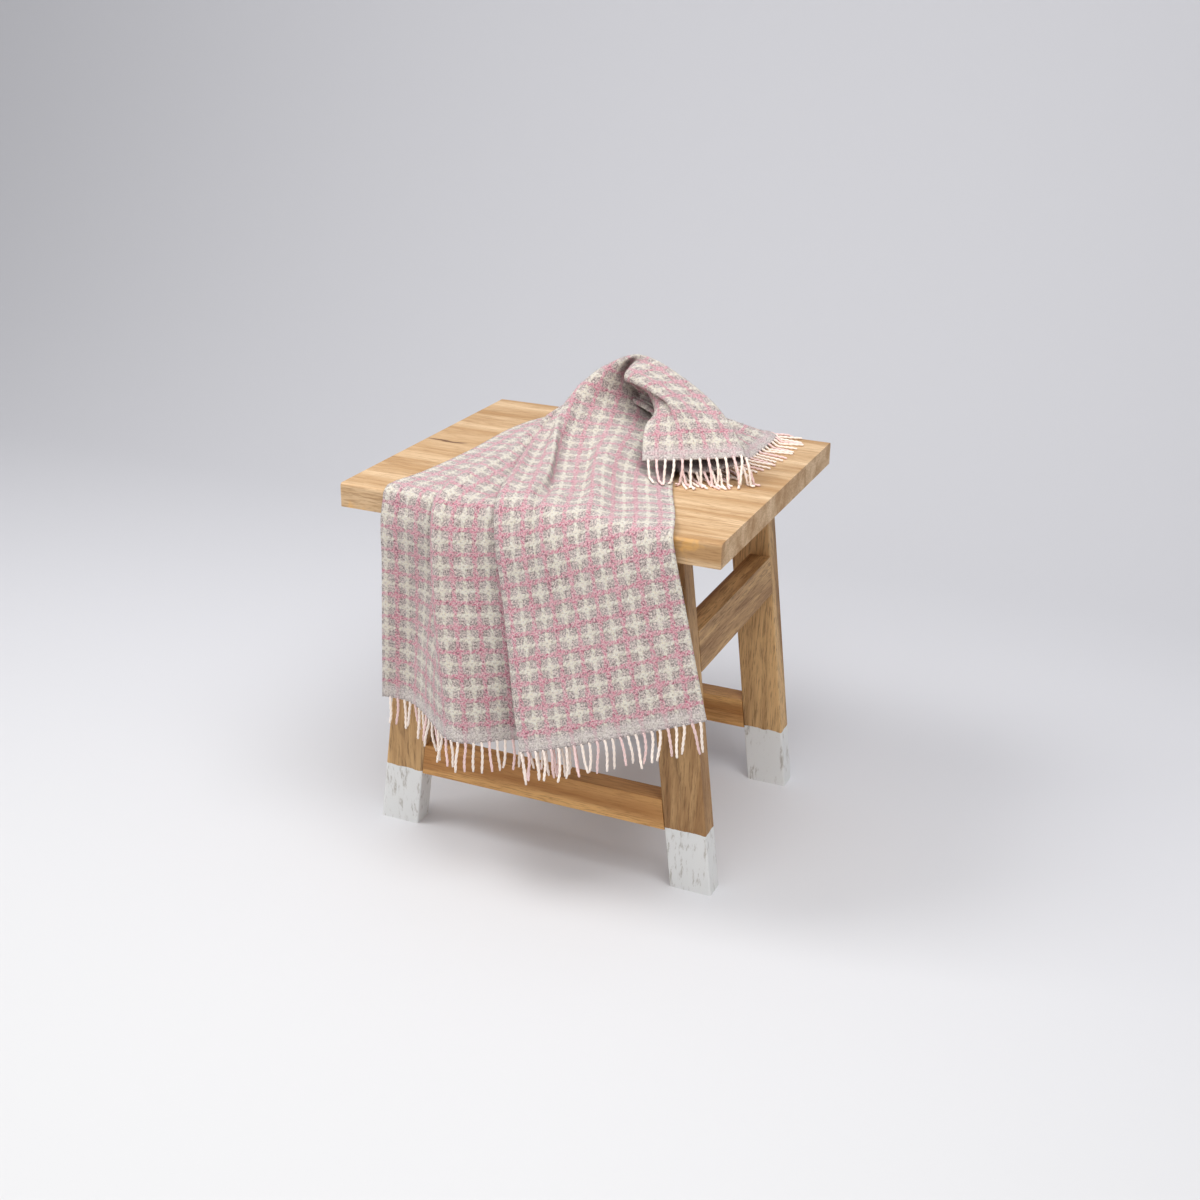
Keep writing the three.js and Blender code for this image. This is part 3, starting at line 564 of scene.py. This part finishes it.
def add_strands(name, far, seed):
    """Two-ply section: a circle swollen at two opposite sides that turn along the strand, of radius
    STRAND_RADIUS * taper * (1 - PLY_DEPTH + PLY_DEPTH * cos(2 (angle - 2 pi run / TWIST_LENGTH))).
    A flat face closes both ends of every strand."""
    lines, places = strand_lines(far, seed)
    way = np.gradient(lines, axis=1)
    way /= np.linalg.norm(way, axis=-1, keepdims=True)
    aside = np.cross(way, NO_STRAND_WAY)
    aside /= np.linalg.norm(aside, axis=-1, keepdims=True)
    lift = np.cross(way, aside)
    run = np.linspace(0, STRAND_LENGTH, STRAND_RINGS)
    angle = np.arange(STRAND_SIDES) / STRAND_SIDES * math.tau
    ply = np.cos(2 * (angle[None, :] - math.tau * run[:, None] / TWIST_LENGTH))
    taper = np.interp(run, TAPER_PLACES, TAPER)
    radius = STRAND_RADIUS * taper[:, None] * (1 - PLY_DEPTH + PLY_DEPTH * ply)
    rings = lines[:, :, None] + radius[None, ..., None] * (
        np.cos(angle)[None, None, :, None] * aside[:, :, None]
        + np.sin(angle)[None, None, :, None] * lift[:, :, None]
    )
    size = STRAND_RINGS * STRAND_SIDES
    roots = np.arange(STRANDS)[:, None] * size
    tips = roots + size - STRAND_SIDES
    side = np.arange(STRAND_SIDES)
    body = grid_faces(STRAND_RINGS, STRAND_SIDES, round_columns=True)
    quads = (body[None] + roots[:, None]).reshape(-1, 4)
    ends = np.stack([roots + side[::-1], tips + side], axis=1).reshape(-1, STRAND_SIDES)
    flat = np.stack([
        np.repeat(places, size),
        np.tile(np.repeat(-run, STRAND_SIDES), STRANDS),
    ], axis=-1)
    return add_mesh(name, rings.reshape(-1, 3), quads.tolist() + ends.tolist(), flat)


front_fringe = add_strands("front_fringe_strands", far=False, seed=11)
far_fringe = add_strands("far_fringe_strands", far=True, seed=12)
print("strand faces:", len(front_fringe.data.polygons), len(far_fringe.data.polygons))

# %% [markdown]
# Wool, wood and worn paint are never one flat colour. Their colours could come from painted images,
# but then they would have to be unwrapped and would blur from close by, so they are worked out by
# shader nodes instead. A small helper adds the nodes and joins them, so that each material below
# reads like the recipe of its own yarn, wood or paint.


# %% A helper for materials
class Recipe:
    """One material's nodes. A socket given as an input is linked, and a plain value is set."""

    def __init__(self, name):
        """An empty material with a node tree of its own."""
        self.material = bpy.data.materials.new(name)
        self.material.use_nodes = True
        self.tree = self.material.node_tree
        self.tree.nodes.clear()

    def add(self, kind, inputs=(), output=0, **settings):
        """One node of a kind, with its settings and its inputs by name or number: gives one output."""
        node = self.tree.nodes.new("ShaderNode" + kind)
        for key, value in settings.items():
            setattr(node, key, value)
        for key, value in dict(inputs).items():
            if isinstance(value, bpy.types.NodeSocket):
                self.tree.links.new(value, node.inputs[key])
            else:
                node.inputs[key].default_value = value
        return node.outputs[output]

    def math(self, operation, *values):
        """One step of arithmetic on numbers and sockets, such as first + second for ADD."""
        return self.add("Math", enumerate(values), operation=operation)

    def step(self, value, low, high):
        """0 below low, 1 above high, and a soft turn between."""
        wanted = {"Value": value, "From Min": low, "From Max": high}
        return self.add("MapRange", wanted, interpolation_type="SMOOTHSTEP")

    def mix(self, share, first, second, blend="MIX"):
        """(1 - share) * first + share * second, where MULTIPLY puts first * second for second."""
        wanted = {0: share, 6: colour(first), 7: colour(second)}
        return self.add("Mix", wanted, output=2, data_type="RGBA", blend_type=blend)

    def noise(self, place, scale, detail=3.0, roughness=0.55, output=0):
        """Soft noise at a place in metres, with about scale spots to a metre."""
        wanted = {"Vector": place, "Scale": scale, "Detail": detail, "Roughness": roughness}
        return self.add("TexNoise", wanted, output=output)

    def chance(self, place):
        """One random number for each whole-numbered place."""
        return self.add("TexWhiteNoise", {"Vector": place}, noise_dimensions="3D")

    def place(self, x, y, z=0.0):
        """A place from its three parts."""
        return self.add("CombineXYZ", enumerate((x, y, z)))

    def split(self, vector):
        """The three parts of a place."""
        node = self.tree.nodes.new("ShaderNodeSeparateXYZ")
        self.tree.links.new(vector, node.inputs[0])
        return tuple(node.outputs)

    def finish(self, shade, height=None, distance=0.001, strength=1.0, **inputs):
        """A Principled surface; the bump is the height in units of the distance, in metres."""
        wanted = {"Base Color": shade}
        wanted.update({key.replace("_", " "): value for key, value in inputs.items()})
        if height is not None:
            bump = {"Height": height, "Distance": distance, "Strength": strength}
            wanted["Normal"] = self.add("Bump", bump)
        surface = self.add("BsdfPrincipled", wanted)
        output = self.tree.nodes.new("ShaderNodeOutputMaterial")
        self.tree.links.new(surface, output.inputs["Surface"])
        return self.material


def colour(value):
    """A colour of three shares gets its alpha; a socket stays as it is."""
    return value if isinstance(value, bpy.types.NodeSocket) else (*value, 1.0)


# %% [markdown]
# The wool. Warp and weft carry the same order of colours: grey, pink, grey, cream. Pink over pink
# makes a star and cream over cream a plus sign, and each arm thins out away from its crossing. The
# twill shows as slanting flecks, one way on the weft's lines and the other way on the warp's. The
# check could be modelled yarn by yarn, but brushed wool hides its yarns, and 340 of them by 470 are
# too many. The nodes work on the cloth's flat places instead, so the check bends with every fold.

# %% Wool material
YARN = CHECK_REPEAT / 16
HALF_REPEAT = CHECK_REPEAT / 2
# half widths of a coloured line in mm, half-way between two crossings and at its own crossing
PINK_ARM = (2.4, 4.9)
CREAM_ARM = (1.8, 4.3)
# colours as shares of red, green and blue light
PINK_PALE = (1.0, 0.66, 0.70)
PINK_DEEP = (0.58, 0.02, 0.12)
MAGENTA = (0.20, 0.004, 0.04)
GREY_PALE = (1.0, 0.84, 0.77)
GREY_DEEP = (0.12, 0.075, 0.06)
CREAM_PALE = (1.0, 0.98, 0.87)
CREAM_DEEP = (0.92, 0.80, 0.62)
HEM_DEEP = (0.46, 0.38, 0.36)
# painted shade: the colour that deep folds and hollows of the cloth are darkened towards
PAINTED_FOLD_SHADE = (0.22, 0.15, 0.14)
HAZE = (1.0, 0.90, 0.86)
ARM_EDGE = 0.9
# scales count spots to a metre, shares run from 0 to 1, and wobble, reach and bump are in metres
WOBBLE_SCALE = 150.0
WOBBLE = 0.005
HAIR_SCALE = 1300.0
WOOLLY_SCALE = 430.0
BRUSHED_SCALE = 60.0
TWILL_YARNS = 4.0
COLOUR_UNDER = 0.48
COLOUR_OVER = 0.50
CHANCE_SHARE = 0.35
MAGENTA_FROM = 0.93
MAGENTA_SHARE = 0.8
HEM_SHARE = 0.35
HEM_TURN = 10
HAIR_SHARE = 0.26
BRUSHED_SHARE = 0.15
# reach of the ambient occlusion that places the painted shade in folds
PAINTED_SHADE_REACH = 0.06
WOOL_BUMP = 0.003


def arm(r, off_line, off_crossing, widths):
    """How much of a coloured line shows: 1 nearer to it than wide + (narrow - wide) * off_crossing /
    HALF_REPEAT, and 0 beyond that, so the line is wide at its own crossing and narrow half-way."""
    narrow, wide = widths
    share = r.math("DIVIDE", off_crossing, HALF_REPEAT)
    half = r.math("MULTIPLY_ADD", share, narrow - wide, wide)
    low = r.math("SUBTRACT", half, ARM_EDGE)
    high = r.math("ADD", half, ARM_EDGE)
    return r.math("SUBTRACT", 1.0, r.step(off_line, low, high))


def twill(r, count):
    """COLOUR_UNDER, and COLOUR_OVER more on every second pair of yarns: where count / TWILL_YARNS has
    a fraction below a half."""
    fraction = r.math("FRACT", r.math("DIVIDE", count, TWILL_YARNS))
    return r.math("MULTIPLY_ADD", r.math("LESS_THAN", fraction, 0.5), COLOUR_OVER, COLOUR_UNDER)


def wool(name):
    """A line's distance is u or v folded to and fro over half a repeat; a place takes the greater of its
    warp's and its weft's share of each colour. Hairs, brushed patches and painted shade in deep folds
    come on top."""
    r = Recipe(name)
    flat = r.add("UVMap", uv_map="flat")
    wobble = r.noise(flat, WOBBLE_SCALE, detail=2.0, output=1)
    shift = r.add("VectorMath", {0: wobble, 1: (0.5, 0.5, 0.5)}, operation="SUBTRACT")
    shift = r.add("VectorMath", {0: shift, "Scale": WOBBLE}, operation="SCALE")
    moved = r.add("VectorMath", {0: flat, 1: shift}, operation="ADD")
    in_mm = r.add("VectorMath", {0: moved, "Scale": 1 / MM}, operation="SCALE")
    u, v, _ = r.split(in_mm)
    pink_u = r.math("PINGPONG", r.math("SUBTRACT", u, FIRST_PINK_COLUMN), HALF_REPEAT)
    pink_v = r.math("PINGPONG", r.math("SUBTRACT", v, FIRST_PINK_ROW), HALF_REPEAT)
    cream_u = r.math("SUBTRACT", HALF_REPEAT, pink_u)
    cream_v = r.math("SUBTRACT", HALF_REPEAT, pink_v)
    warp_count = r.math("FLOOR", r.math("DIVIDE", u, YARN))
    weft_count = r.math("FLOOR", r.math("DIVIDE", v, YARN))
    on_warp = twill(r, r.math("ADD", warp_count, weft_count))
    on_weft = twill(r, r.math("SUBTRACT", warp_count, weft_count))
    pale_chance = r.chance(r.place(warp_count, weft_count, 1.0))
    magenta_chance = r.chance(r.place(warp_count, weft_count, 2.0))
    hairs = r.noise(flat, HAIR_SCALE, detail=2.0, roughness=0.8)
    woolly = r.noise(flat, WOOLLY_SCALE, detail=3.0, roughness=0.7)
    uneven = r.math("MULTIPLY", r.step(woolly, 0.43, 0.57), 1 - CHANCE_SHARE)
    speckle = r.math("MULTIPLY_ADD", pale_chance, CHANCE_SHARE, uneven)
    grey = r.mix(speckle, GREY_DEEP, GREY_PALE)
    white = r.mix(speckle, CREAM_DEEP, CREAM_PALE)
    rose = r.mix(speckle, PINK_DEEP, PINK_PALE)
    vivid = r.math("GREATER_THAN", magenta_chance, MAGENTA_FROM)
    rose = r.mix(r.math("MULTIPLY", vivid, MAGENTA_SHARE), rose, MAGENTA)
    cream = r.math("MAXIMUM",
                   r.math("MULTIPLY", arm(r, cream_u, cream_v, CREAM_ARM), on_warp),
                   r.math("MULTIPLY", arm(r, cream_v, cream_u, CREAM_ARM), on_weft))
    pink = r.math("MAXIMUM",
                  r.math("MULTIPLY", arm(r, pink_u, pink_v, PINK_ARM), on_warp),
                  r.math("MULTIPLY", arm(r, pink_v, pink_u, PINK_ARM), on_weft))
    check = r.mix(pink, r.mix(cream, grey, white), rose)
    from_hem = r.math("MINIMUM", v, r.math("SUBTRACT", CLOTH_LENGTH, v))
    plain = r.mix(HEM_SHARE, r.mix(speckle, HEM_DEEP, HAZE), check)
    shade = r.mix(r.step(from_hem, PLAIN_HEM - HEM_TURN, PLAIN_HEM), plain, check)
    shade = r.mix(r.math("MULTIPLY", r.step(hairs, 0.50, 0.70), HAIR_SHARE), shade, HAZE)
    brushed = r.noise(flat, BRUSHED_SCALE, detail=2.0)
    shade = r.mix(r.math("MULTIPLY", r.step(brushed, 0.40, 0.75), BRUSHED_SHARE), shade, HAZE)
    # Painted shade: where ambient occlusion finds the cloth close around, in deep folds and hollows, the
    # colour is darkened.
    painted_shade_occlusion = r.add("AmbientOcclusion", {"Distance": PAINTED_SHADE_REACH}, output=1, samples=8)
    shade = r.mix(r.math("SUBTRACT", 1.0, r.step(painted_shade_occlusion, 0.1, 0.72)), shade, PAINTED_FOLD_SHADE, blend="MULTIPLY")
    raised = r.math("MULTIPLY_ADD", r.math("MAXIMUM", cream, pink), 0.5, woolly)
    height = r.math("MULTIPLY_ADD", hairs, 0.5, raised)
    return r.finish(shade, height, distance=WOOL_BUMP, Roughness=0.95,
                    Sheen_Weight=0.5, Sheen_Roughness=0.6, Specular_IOR_Level=0.1)


cloth_material = wool("brushed_check_wool")
blanket.data.materials.append(cloth_material)

# %% [markdown]
# The strands show the colours of the warp that they are twisted from. Every third one is pinker, and
# the others are cream with pink hairs among them. A plain colour for each would do from far away,
# but close by the two kinds of hair are seen, so noise mixes them. The strand's shape shows its ply.

# %% Strand material
BLEND_SCALE = 420.0
STRAND_HAIR_SCALE = 1500.0
PINK_HAIR_SHARE = 0.5
PINK_TINT = 0.2
PINK_STRAND_SHARE = 0.42
STRAND_HAZE_SHARE = 0.35
STRAND_BUMP = 0.0006


def twisted_wool(name):
    """Cream mixed with pink hairs, and rose mixed in where (number of the strand + 2) / 3 has no
    remainder. The number is (u - FIRST_STRAND) / STRAND_PITCH."""
    r = Recipe(name)
    flat = r.add("UVMap", uv_map="flat")
    u = r.split(r.add("VectorMath", {0: flat, "Scale": 1 / MM}, operation="SCALE"))[0]
    number = r.math("ROUND", r.math("DIVIDE", r.math("SUBTRACT", u, FIRST_STRAND), STRAND_PITCH))
    third = r.math("MODULO", r.math("ADD", number, 2.0), 3.0)
    pink = r.math("LESS_THAN", third, 0.5)
    spot = r.add("TexCoord", output=3)
    blend = r.noise(spot, BLEND_SCALE, detail=2.0)
    hairs = r.noise(spot, STRAND_HAIR_SCALE, detail=2.0, roughness=0.7)
    rose = r.mix(blend, PINK_DEEP, PINK_PALE)
    white = r.mix(blend, CREAM_DEEP, CREAM_PALE)
    white = r.mix(r.math("MULTIPLY", r.step(hairs, 0.60, 0.70), PINK_HAIR_SHARE), white, PINK_PALE)
    white = r.mix(PINK_TINT, white, PINK_PALE)
    shade = r.mix(r.math("MULTIPLY", pink, PINK_STRAND_SHARE), white, rose)
    shade = r.mix(r.math("MULTIPLY", r.step(hairs, 0.42, 0.7), STRAND_HAZE_SHARE), shade, HAZE)
    return r.finish(shade, hairs, distance=STRAND_BUMP, strength=0.7, Roughness=0.95,
                    Sheen_Weight=0.35, Sheen_Roughness=0.5, Specular_IOR_Level=0.15)


strand_material = twisted_wool("twisted_wool")
for fringe in (front_fringe, far_fringe):
    fringe.data.materials.append(strand_material)

# %% [markdown]
# Brushed wool has a haze of loose fibres that catches the light along every fold. Blender's hair
# would make it quickly, but it isn't a mesh and is lost on export. So each fibre is a thin tapered
# ribbon that leaves the cloth at a random point, leans over and bends back to it. It has only two
# faces, because there are tens of thousands of them.

# %% Loose fibres
FIBRE_WIDTH = 0.16
FIBRE_LENGTH = (2.5, 7.0)
FIBRE_LIFT = 0.5
FIBRE_ROOT = 0.3
MIDDLE_WIDTH = 0.8
MIDDLE_HEIGHT = 0.22
TIP_HEIGHT = 0.16
FIBRE_POINTS = 5


def on_cloth(count, random, side):
    """Random places (u, v) on the cloth with their point, way out, and two ways along the cloth. The
    point lies between the four around it: (1 - t)((1 - s) a + s b) + t ((1 - s) c + s d)."""
    u = random.uniform(0.5, CLOTH_WIDTH - 0.5, count)
    v = random.uniform(0.5, CLOTH_LENGTH - 0.5, count)
    x = u / CLOTH_WIDTH * (fine.shape[1] - 1)
    y = v / CLOTH_LENGTH * (fine.shape[0] - 1)
    i, j = np.floor(x).astype(int), np.floor(y).astype(int)
    s, t = (x - i)[:, None], (y - j)[:, None]
    low = fine[j, i] * (1 - s) + fine[j, i + 1] * s
    high = fine[j + 1, i] * (1 - s) + fine[j + 1, i + 1] * s
    point = low * (1 - t) + high * t
    face = out_of_face[j, i] * side
    across_way = fine[j, i + 1] - fine[j, i]
    across_way /= np.linalg.norm(across_way, axis=-1, keepdims=True)
    along_way = np.cross(face, across_way)
    return point + face * (CLOTH_THICKNESS / 2), face, across_way, along_way, np.stack([u, v], -1)


def ribbons(name, point, face, lean, flat, length):
    """Five points a fibre: two at the root, two halfway, where it is highest, and one at its tip. The
    middle is point + lean length / 2 + face length MIDDLE_HEIGHT, and the tip is like it."""
    count = len(point)
    wide = np.cross(face, lean) * (FIBRE_WIDTH / 2)
    middle = point + lean * (0.5 * length) + face * (MIDDLE_HEIGHT * length)
    tip = point + lean * length + face * (TIP_HEIGHT * length)
    root = point - face * FIBRE_ROOT
    narrow = wide * MIDDLE_WIDTH
    points = np.stack([root - wide, root + wide, middle + narrow, middle - narrow, tip], 1)
    first = np.arange(count)[:, None] * FIBRE_POINTS
    quads = first + np.array([0, 1, 2, 3])
    tips = first + np.array([3, 2, 4])
    piece = add_mesh(name, points.reshape(-1, 3), quads.tolist() + tips.tolist(),
                     np.repeat(flat, FIBRE_POINTS, axis=0), smooth=False)
    piece.data.materials.append(cloth_material)
    return piece


def fuzz(name, count, side, seed):
    """Fibres of random length that lean cos(turn) across + sin(turn) along + lift out of the cloth,
    where the lift is the square of a random number, so that most of them lie low."""
    random = np.random.default_rng(seed)
    point, face, across_way, along_way, flat = on_cloth(count, random, side)
    turn = random.uniform(0, math.tau, count)[:, None]
    lean = np.cos(turn) * across_way + np.sin(turn) * along_way
    lift = random.uniform(0.0, FIBRE_LIFT, count)[:, None] ** 2
    lean = lean + lift * face
    lean /= np.linalg.norm(lean, axis=-1, keepdims=True)
    length = random.uniform(*FIBRE_LENGTH, count)[:, None]
    return ribbons(name, point, face, lean, flat, length)


fuzz_out = fuzz("loose_fibres_face", 52000, 1.0, 21)
fuzz_in = fuzz("loose_fibres_back", 38000, -1.0, 22)
print("fibres:", len(fuzz_out.data.polygons) // 2, len(fuzz_in.data.polygons) // 2)

# %% [markdown]
# The stool is solid hardwood, oiled and worn, with its feet dipped in white paint. An image of boards
# would show the same knots on every piece, so the grain is worked out through the whole solid, as in
# real wood: noise stretched along the board for the figure, finer noise for the pores, and broad
# noise for darker parts. Top, legs and rails each get their own shades and their own way of grain.

# %% Wood materials
GRAIN_SHARE = 0.07
BEND_SCALE = 9.0
BEND = 0.02
FIGURE_SCALE = 26.0
PORE_SCALE = 420.0
BROAD_SCALE = 5.0
PORE_SHARE = 0.55
BROAD_SHARE = 0.5
WOOD_BUMP = 0.0007


def wood(name, grain, pale, deep, pores, marks=None, paint=None):
    """Grain runs along one axis: noise at (x, y, z) with that one times GRAIN_SHARE is 14 times as
    long as it is wide. Marks change the shade, and paint changes the shade and the height."""
    r = Recipe(name)
    spot = r.add("TexCoord", output=3)
    x, y, z = r.split(spot)
    stretch = [1.0, 1.0, 1.0]
    stretch[grain] = GRAIN_SHARE
    parts = [r.math("MULTIPLY", axis, share) for axis, share in zip((x, y, z), stretch)]
    board = r.place(*parts)
    bend = r.noise(board, BEND_SCALE, detail=2.0, output=1)
    bend = r.add("VectorMath", {0: bend, "Scale": BEND}, operation="SCALE")
    board = r.add("VectorMath", {0: board, 1: bend}, operation="ADD")
    figure = r.noise(board, FIGURE_SCALE, detail=5.0, roughness=0.65)
    fine_grain = r.noise(board, PORE_SCALE, detail=3.0, roughness=0.7)
    wide = r.add("VectorMath", {0: board, "Scale": 2.0}, operation="SCALE")
    broad = r.noise(wide, BROAD_SCALE, detail=3.0)
    shade = r.mix(r.step(figure, 0.34, 0.66), pale, deep)
    shade = r.mix(r.math("MULTIPLY", r.step(fine_grain, 0.47, 0.66), PORE_SHARE), shade, pores)
    shade = r.mix(r.math("MULTIPLY", r.step(broad, 0.48, 0.66), BROAD_SHARE), shade, deep)
    height = r.math("ADD", r.math("MULTIPLY", figure, 0.5), fine_grain)
    rough = r.math("MULTIPLY_ADD", fine_grain, 0.25, 0.45)
    if marks:
        shade = marks(r, shade, x, y, z)
    if paint:
        shade, height = paint(r, shade, height, x, y, z)
    return r.finish(shade, height, distance=WOOD_BUMP, strength=0.5, Roughness=rough,
                    Specular_IOR_Level=0.35)


TOP_PALE = (0.76, 0.545, 0.33)
TOP_DEEP = (0.46, 0.265, 0.115)
TOP_PORES = (0.28, 0.14, 0.055)
LEG_PALE = (0.70, 0.44, 0.20)
LEG_DEEP = (0.27, 0.13, 0.045)
LEG_PORES = (0.10, 0.045, 0.015)
RAIL_PALE = (0.80, 0.46, 0.17)
RAIL_DEEP = (0.40, 0.17, 0.045)
RAIL_PORES = (0.24, 0.10, 0.03)
PAINT_PALE = (0.78, 0.78, 0.76)
PAINT_WORN = (0.42, 0.38, 0.33)
PAINT_HEIGHT = 0.096
PAINT_WAVE = 0.008
WAVE_SCALE = 45.0
RUBBED_SCALE = 130.0
RUBBED_SHARE = 0.8
PAINT_THICKNESS = 0.6
# the crack's place is in mm from the middle of the top, and its bend, reach and width are in metres
CRACK_X = -250.0
CRACK_Y = -17.0
CRACK_BEND = 0.02
CRACK_REACH = (0.020, 0.040)
CRACK_WIDTH = (0.0015, 0.006)
CRACK_SHARE = 0.85
CRACK_BROWN = (0.12, 0.05, 0.02)
FRONT_EDGE = (-254, -249)
STAIN_SHARE = 0.45
STAIN_AMBER = (0.80, 0.42, 0.10)


def white_feet(r, shade, height, x, y, z):
    """Feet dipped in white paint where z < PAINT_HEIGHT + PAINT_WAVE * (wave - 0.5), and rubbed thin
    in upright streaks, where the noise is high."""
    spot = r.place(x, y, z)
    wave = r.noise(spot, WAVE_SCALE, detail=2.0)
    line = r.math("MULTIPLY_ADD", wave, PAINT_WAVE, PAINT_HEIGHT - PAINT_WAVE / 2)
    painted = r.math("LESS_THAN", z, line)
    upright = r.place(x, y, r.math("MULTIPLY", z, 0.25))
    rubbed = r.noise(upright, RUBBED_SCALE, detail=4.0, roughness=0.7)
    thin = r.math("MULTIPLY", r.step(rubbed, 0.53, 0.68), RUBBED_SHARE)
    white = r.mix(thin, PAINT_PALE, PAINT_WORN)
    shade = r.mix(painted, shade, white)
    thick = r.math("MULTIPLY", painted, r.math("SUBTRACT", PAINT_THICKNESS, thin))
    return shade, r.math("ADD", height, thick)


def crack_marks(r, shade, x, y, z):
    """A dark crack on the top's left, where |x - CRACK_X| and |y - CRACK_Y - bend| are both small,
    and amber stains in patches of the front edge."""
    spot = r.place(x, y, z)
    bend = r.math("MULTIPLY_ADD", r.noise(spot, 25.0), CRACK_BEND, (SHIFT[1] + CRACK_Y) * MM)
    off_line = r.math("ABSOLUTE", r.math("SUBTRACT", y, bend))
    off_middle = r.math("ABSOLUTE", r.math("SUBTRACT", x, (SHIFT[0] + CRACK_X) * MM))
    near = r.math("SUBTRACT", 1.0, r.step(off_middle, *CRACK_REACH))
    dark = r.math("MULTIPLY", near, r.math("SUBTRACT", 1.0, r.step(off_line, *CRACK_WIDTH)))
    shade = r.mix(r.math("MULTIPLY", dark, CRACK_SHARE), shade, CRACK_BROWN)
    low, high = ((SHIFT[1] + edge) * MM for edge in FRONT_EDGE)
    front = r.math("SUBTRACT", 1.0, r.step(y, low, high))
    stain = r.step(r.noise(spot, 28.0, detail=3.0), 0.52, 0.64)
    stain = r.math("MULTIPLY", r.math("MULTIPLY", stain, front), STAIN_SHARE)
    return r.mix(stain, shade, STAIN_AMBER)


ALONG_X, ALONG_Y, ALONG_Z = 0, 1, 2
top_material = wood("oiled_top_wood", ALONG_X, TOP_PALE, TOP_DEEP, TOP_PORES, marks=crack_marks)
leg_material = wood("oiled_leg_wood", ALONG_Z, LEG_PALE, LEG_DEEP, LEG_PORES, paint=white_feet)
rail_material = wood("oiled_rail_wood", ALONG_X, RAIL_PALE, RAIL_DEEP, RAIL_PORES)
side_material = wood("oiled_side_wood", ALONG_Y, LEG_PALE, LEG_DEEP, LEG_PORES)
wooden = {"top_plank": top_material, "leg": leg_material, "foot_rail": rail_material,
          "side_rail": side_material}
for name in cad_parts:
    for start, material in wooden.items():
        if name.startswith(start):
            node = bpy.data.objects[name]
            node.data.materials.clear()
            node.data.materials.append(material)
            print(name, "is", material.name)

# %% [markdown]
# The cloth and its fringes stand for the plain solids of the imported model, which are hidden, and all
# of it stands still on one body. The real blanket was cut from a flat piece.

for piece in (blanket, front_fringe, far_fringe, fuzz_out, fuzz_in):
    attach(piece, "root")
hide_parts("blanket")
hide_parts("front_fringe")
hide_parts("far_fringe")

# %% [markdown]
# A studio sweep: one pale sheet of paper runs forward under the stool and curves up behind it. A
# floor and a wall would meet in a visible line, so the profile is a straight floor, a quarter turn
# and a straight wall, carried sideways. The light is soft: a window on the left, a panel above the
# right, a weak one in front, and pale light from all round.

# %% Floor and lights
SWEEP_WIDTH = 7.0
FLOOR_FRONT = -4.0
SWEEP_BACK = 2.6
SWEEP_RADIUS = 1.4
WALL_HEIGHT = 3.6
PAPER_NEAR = (0.70, 0.70, 0.70)
PAPER_FAR = (0.71, 0.71, 0.735)
PAPER_CHANGE = (-1.1, 0.5)
PAPER_UNEVEN = 0.06
ROOM_LIGHT = (0.87, 0.87, 0.90, 1)
ROOM_STRENGTH = 0.48
# name, place, aimed at, size in metres, power in watts
LIGHTS = [
    ("window_left", (-1.6, -0.9, 2.8), (0, 0, 0.4), (1.3, 1.3), 44),
    ("overhead_right", (0.8, -0.8, 2.5), (0.1, 0, 0.5), (1.4, 1.4), 36),
    ("front_fill", (-0.4, -2.8, 2.2), (0, 0, 0.2), (2.5, 2.0), 16),
]
turn = np.linspace(0, math.pi / 2, 25)
profile = np.concatenate([
    [[FLOOR_FRONT, 0.0]],
    np.stack([SWEEP_BACK - SWEEP_RADIUS + SWEEP_RADIUS * np.sin(turn),
              SWEEP_RADIUS - SWEEP_RADIUS * np.cos(turn)], axis=-1),
    [[SWEEP_BACK, WALL_HEIGHT]],
])
ends = np.array([-SWEEP_WIDTH / 2, SWEEP_WIDTH / 2])
sweep_points = np.array([[x, y, z] for y, z in profile for x in ends])
sweep_mesh = bpy.data.meshes.new("studio_sweep")
sweep_mesh.from_pydata(sweep_points.tolist(), [], grid_faces(len(profile), 2).tolist())
sweep_mesh.polygons.foreach_set("use_smooth", np.ones(len(sweep_mesh.polygons), dtype=bool))
sweep = bpy.data.objects.new("studio_sweep", sweep_mesh)
bpy.context.collection.objects.link(sweep)
r = Recipe("studio_paper")
spot = r.add("TexCoord", output=3)
backwards = r.step(r.split(spot)[1], *PAPER_CHANGE)
paper = r.mix(backwards, PAPER_NEAR, PAPER_FAR)
paper = r.mix(r.math("MULTIPLY", r.noise(spot, 3.0), PAPER_UNEVEN), paper, PAPER_FAR)
sweep_mesh.materials.append(r.finish(paper, Roughness=0.8))


def add_light(name, place, towards, size, power):
    """A rectangle of light, with its -Z turned to face the point that it is aimed at."""
    light = bpy.data.lights.new(name, "AREA")
    light.shape = "RECTANGLE"
    light.size, light.size_y = size
    light.energy = power
    lamp = bpy.data.objects.new(name, light)
    bpy.context.collection.objects.link(lamp)
    lamp.location = place
    lamp.rotation_euler = (Vector(towards) - Vector(place)).to_track_quat("-Z", "Y").to_euler()
    return lamp


for light in LIGHTS:
    add_light(*light)
world = bpy.data.worlds.new("studio")
world.use_nodes = True
world.node_tree.nodes["Background"].inputs["Color"].default_value = ROOM_LIGHT
world.node_tree.nodes["Background"].inputs["Strength"].default_value = ROOM_STRENGTH
bpy.context.scene.world = world
bpy.context.scene.view_settings.view_transform = "Standard"
print("lights:", ", ".join(light[0] for light in LIGHTS))
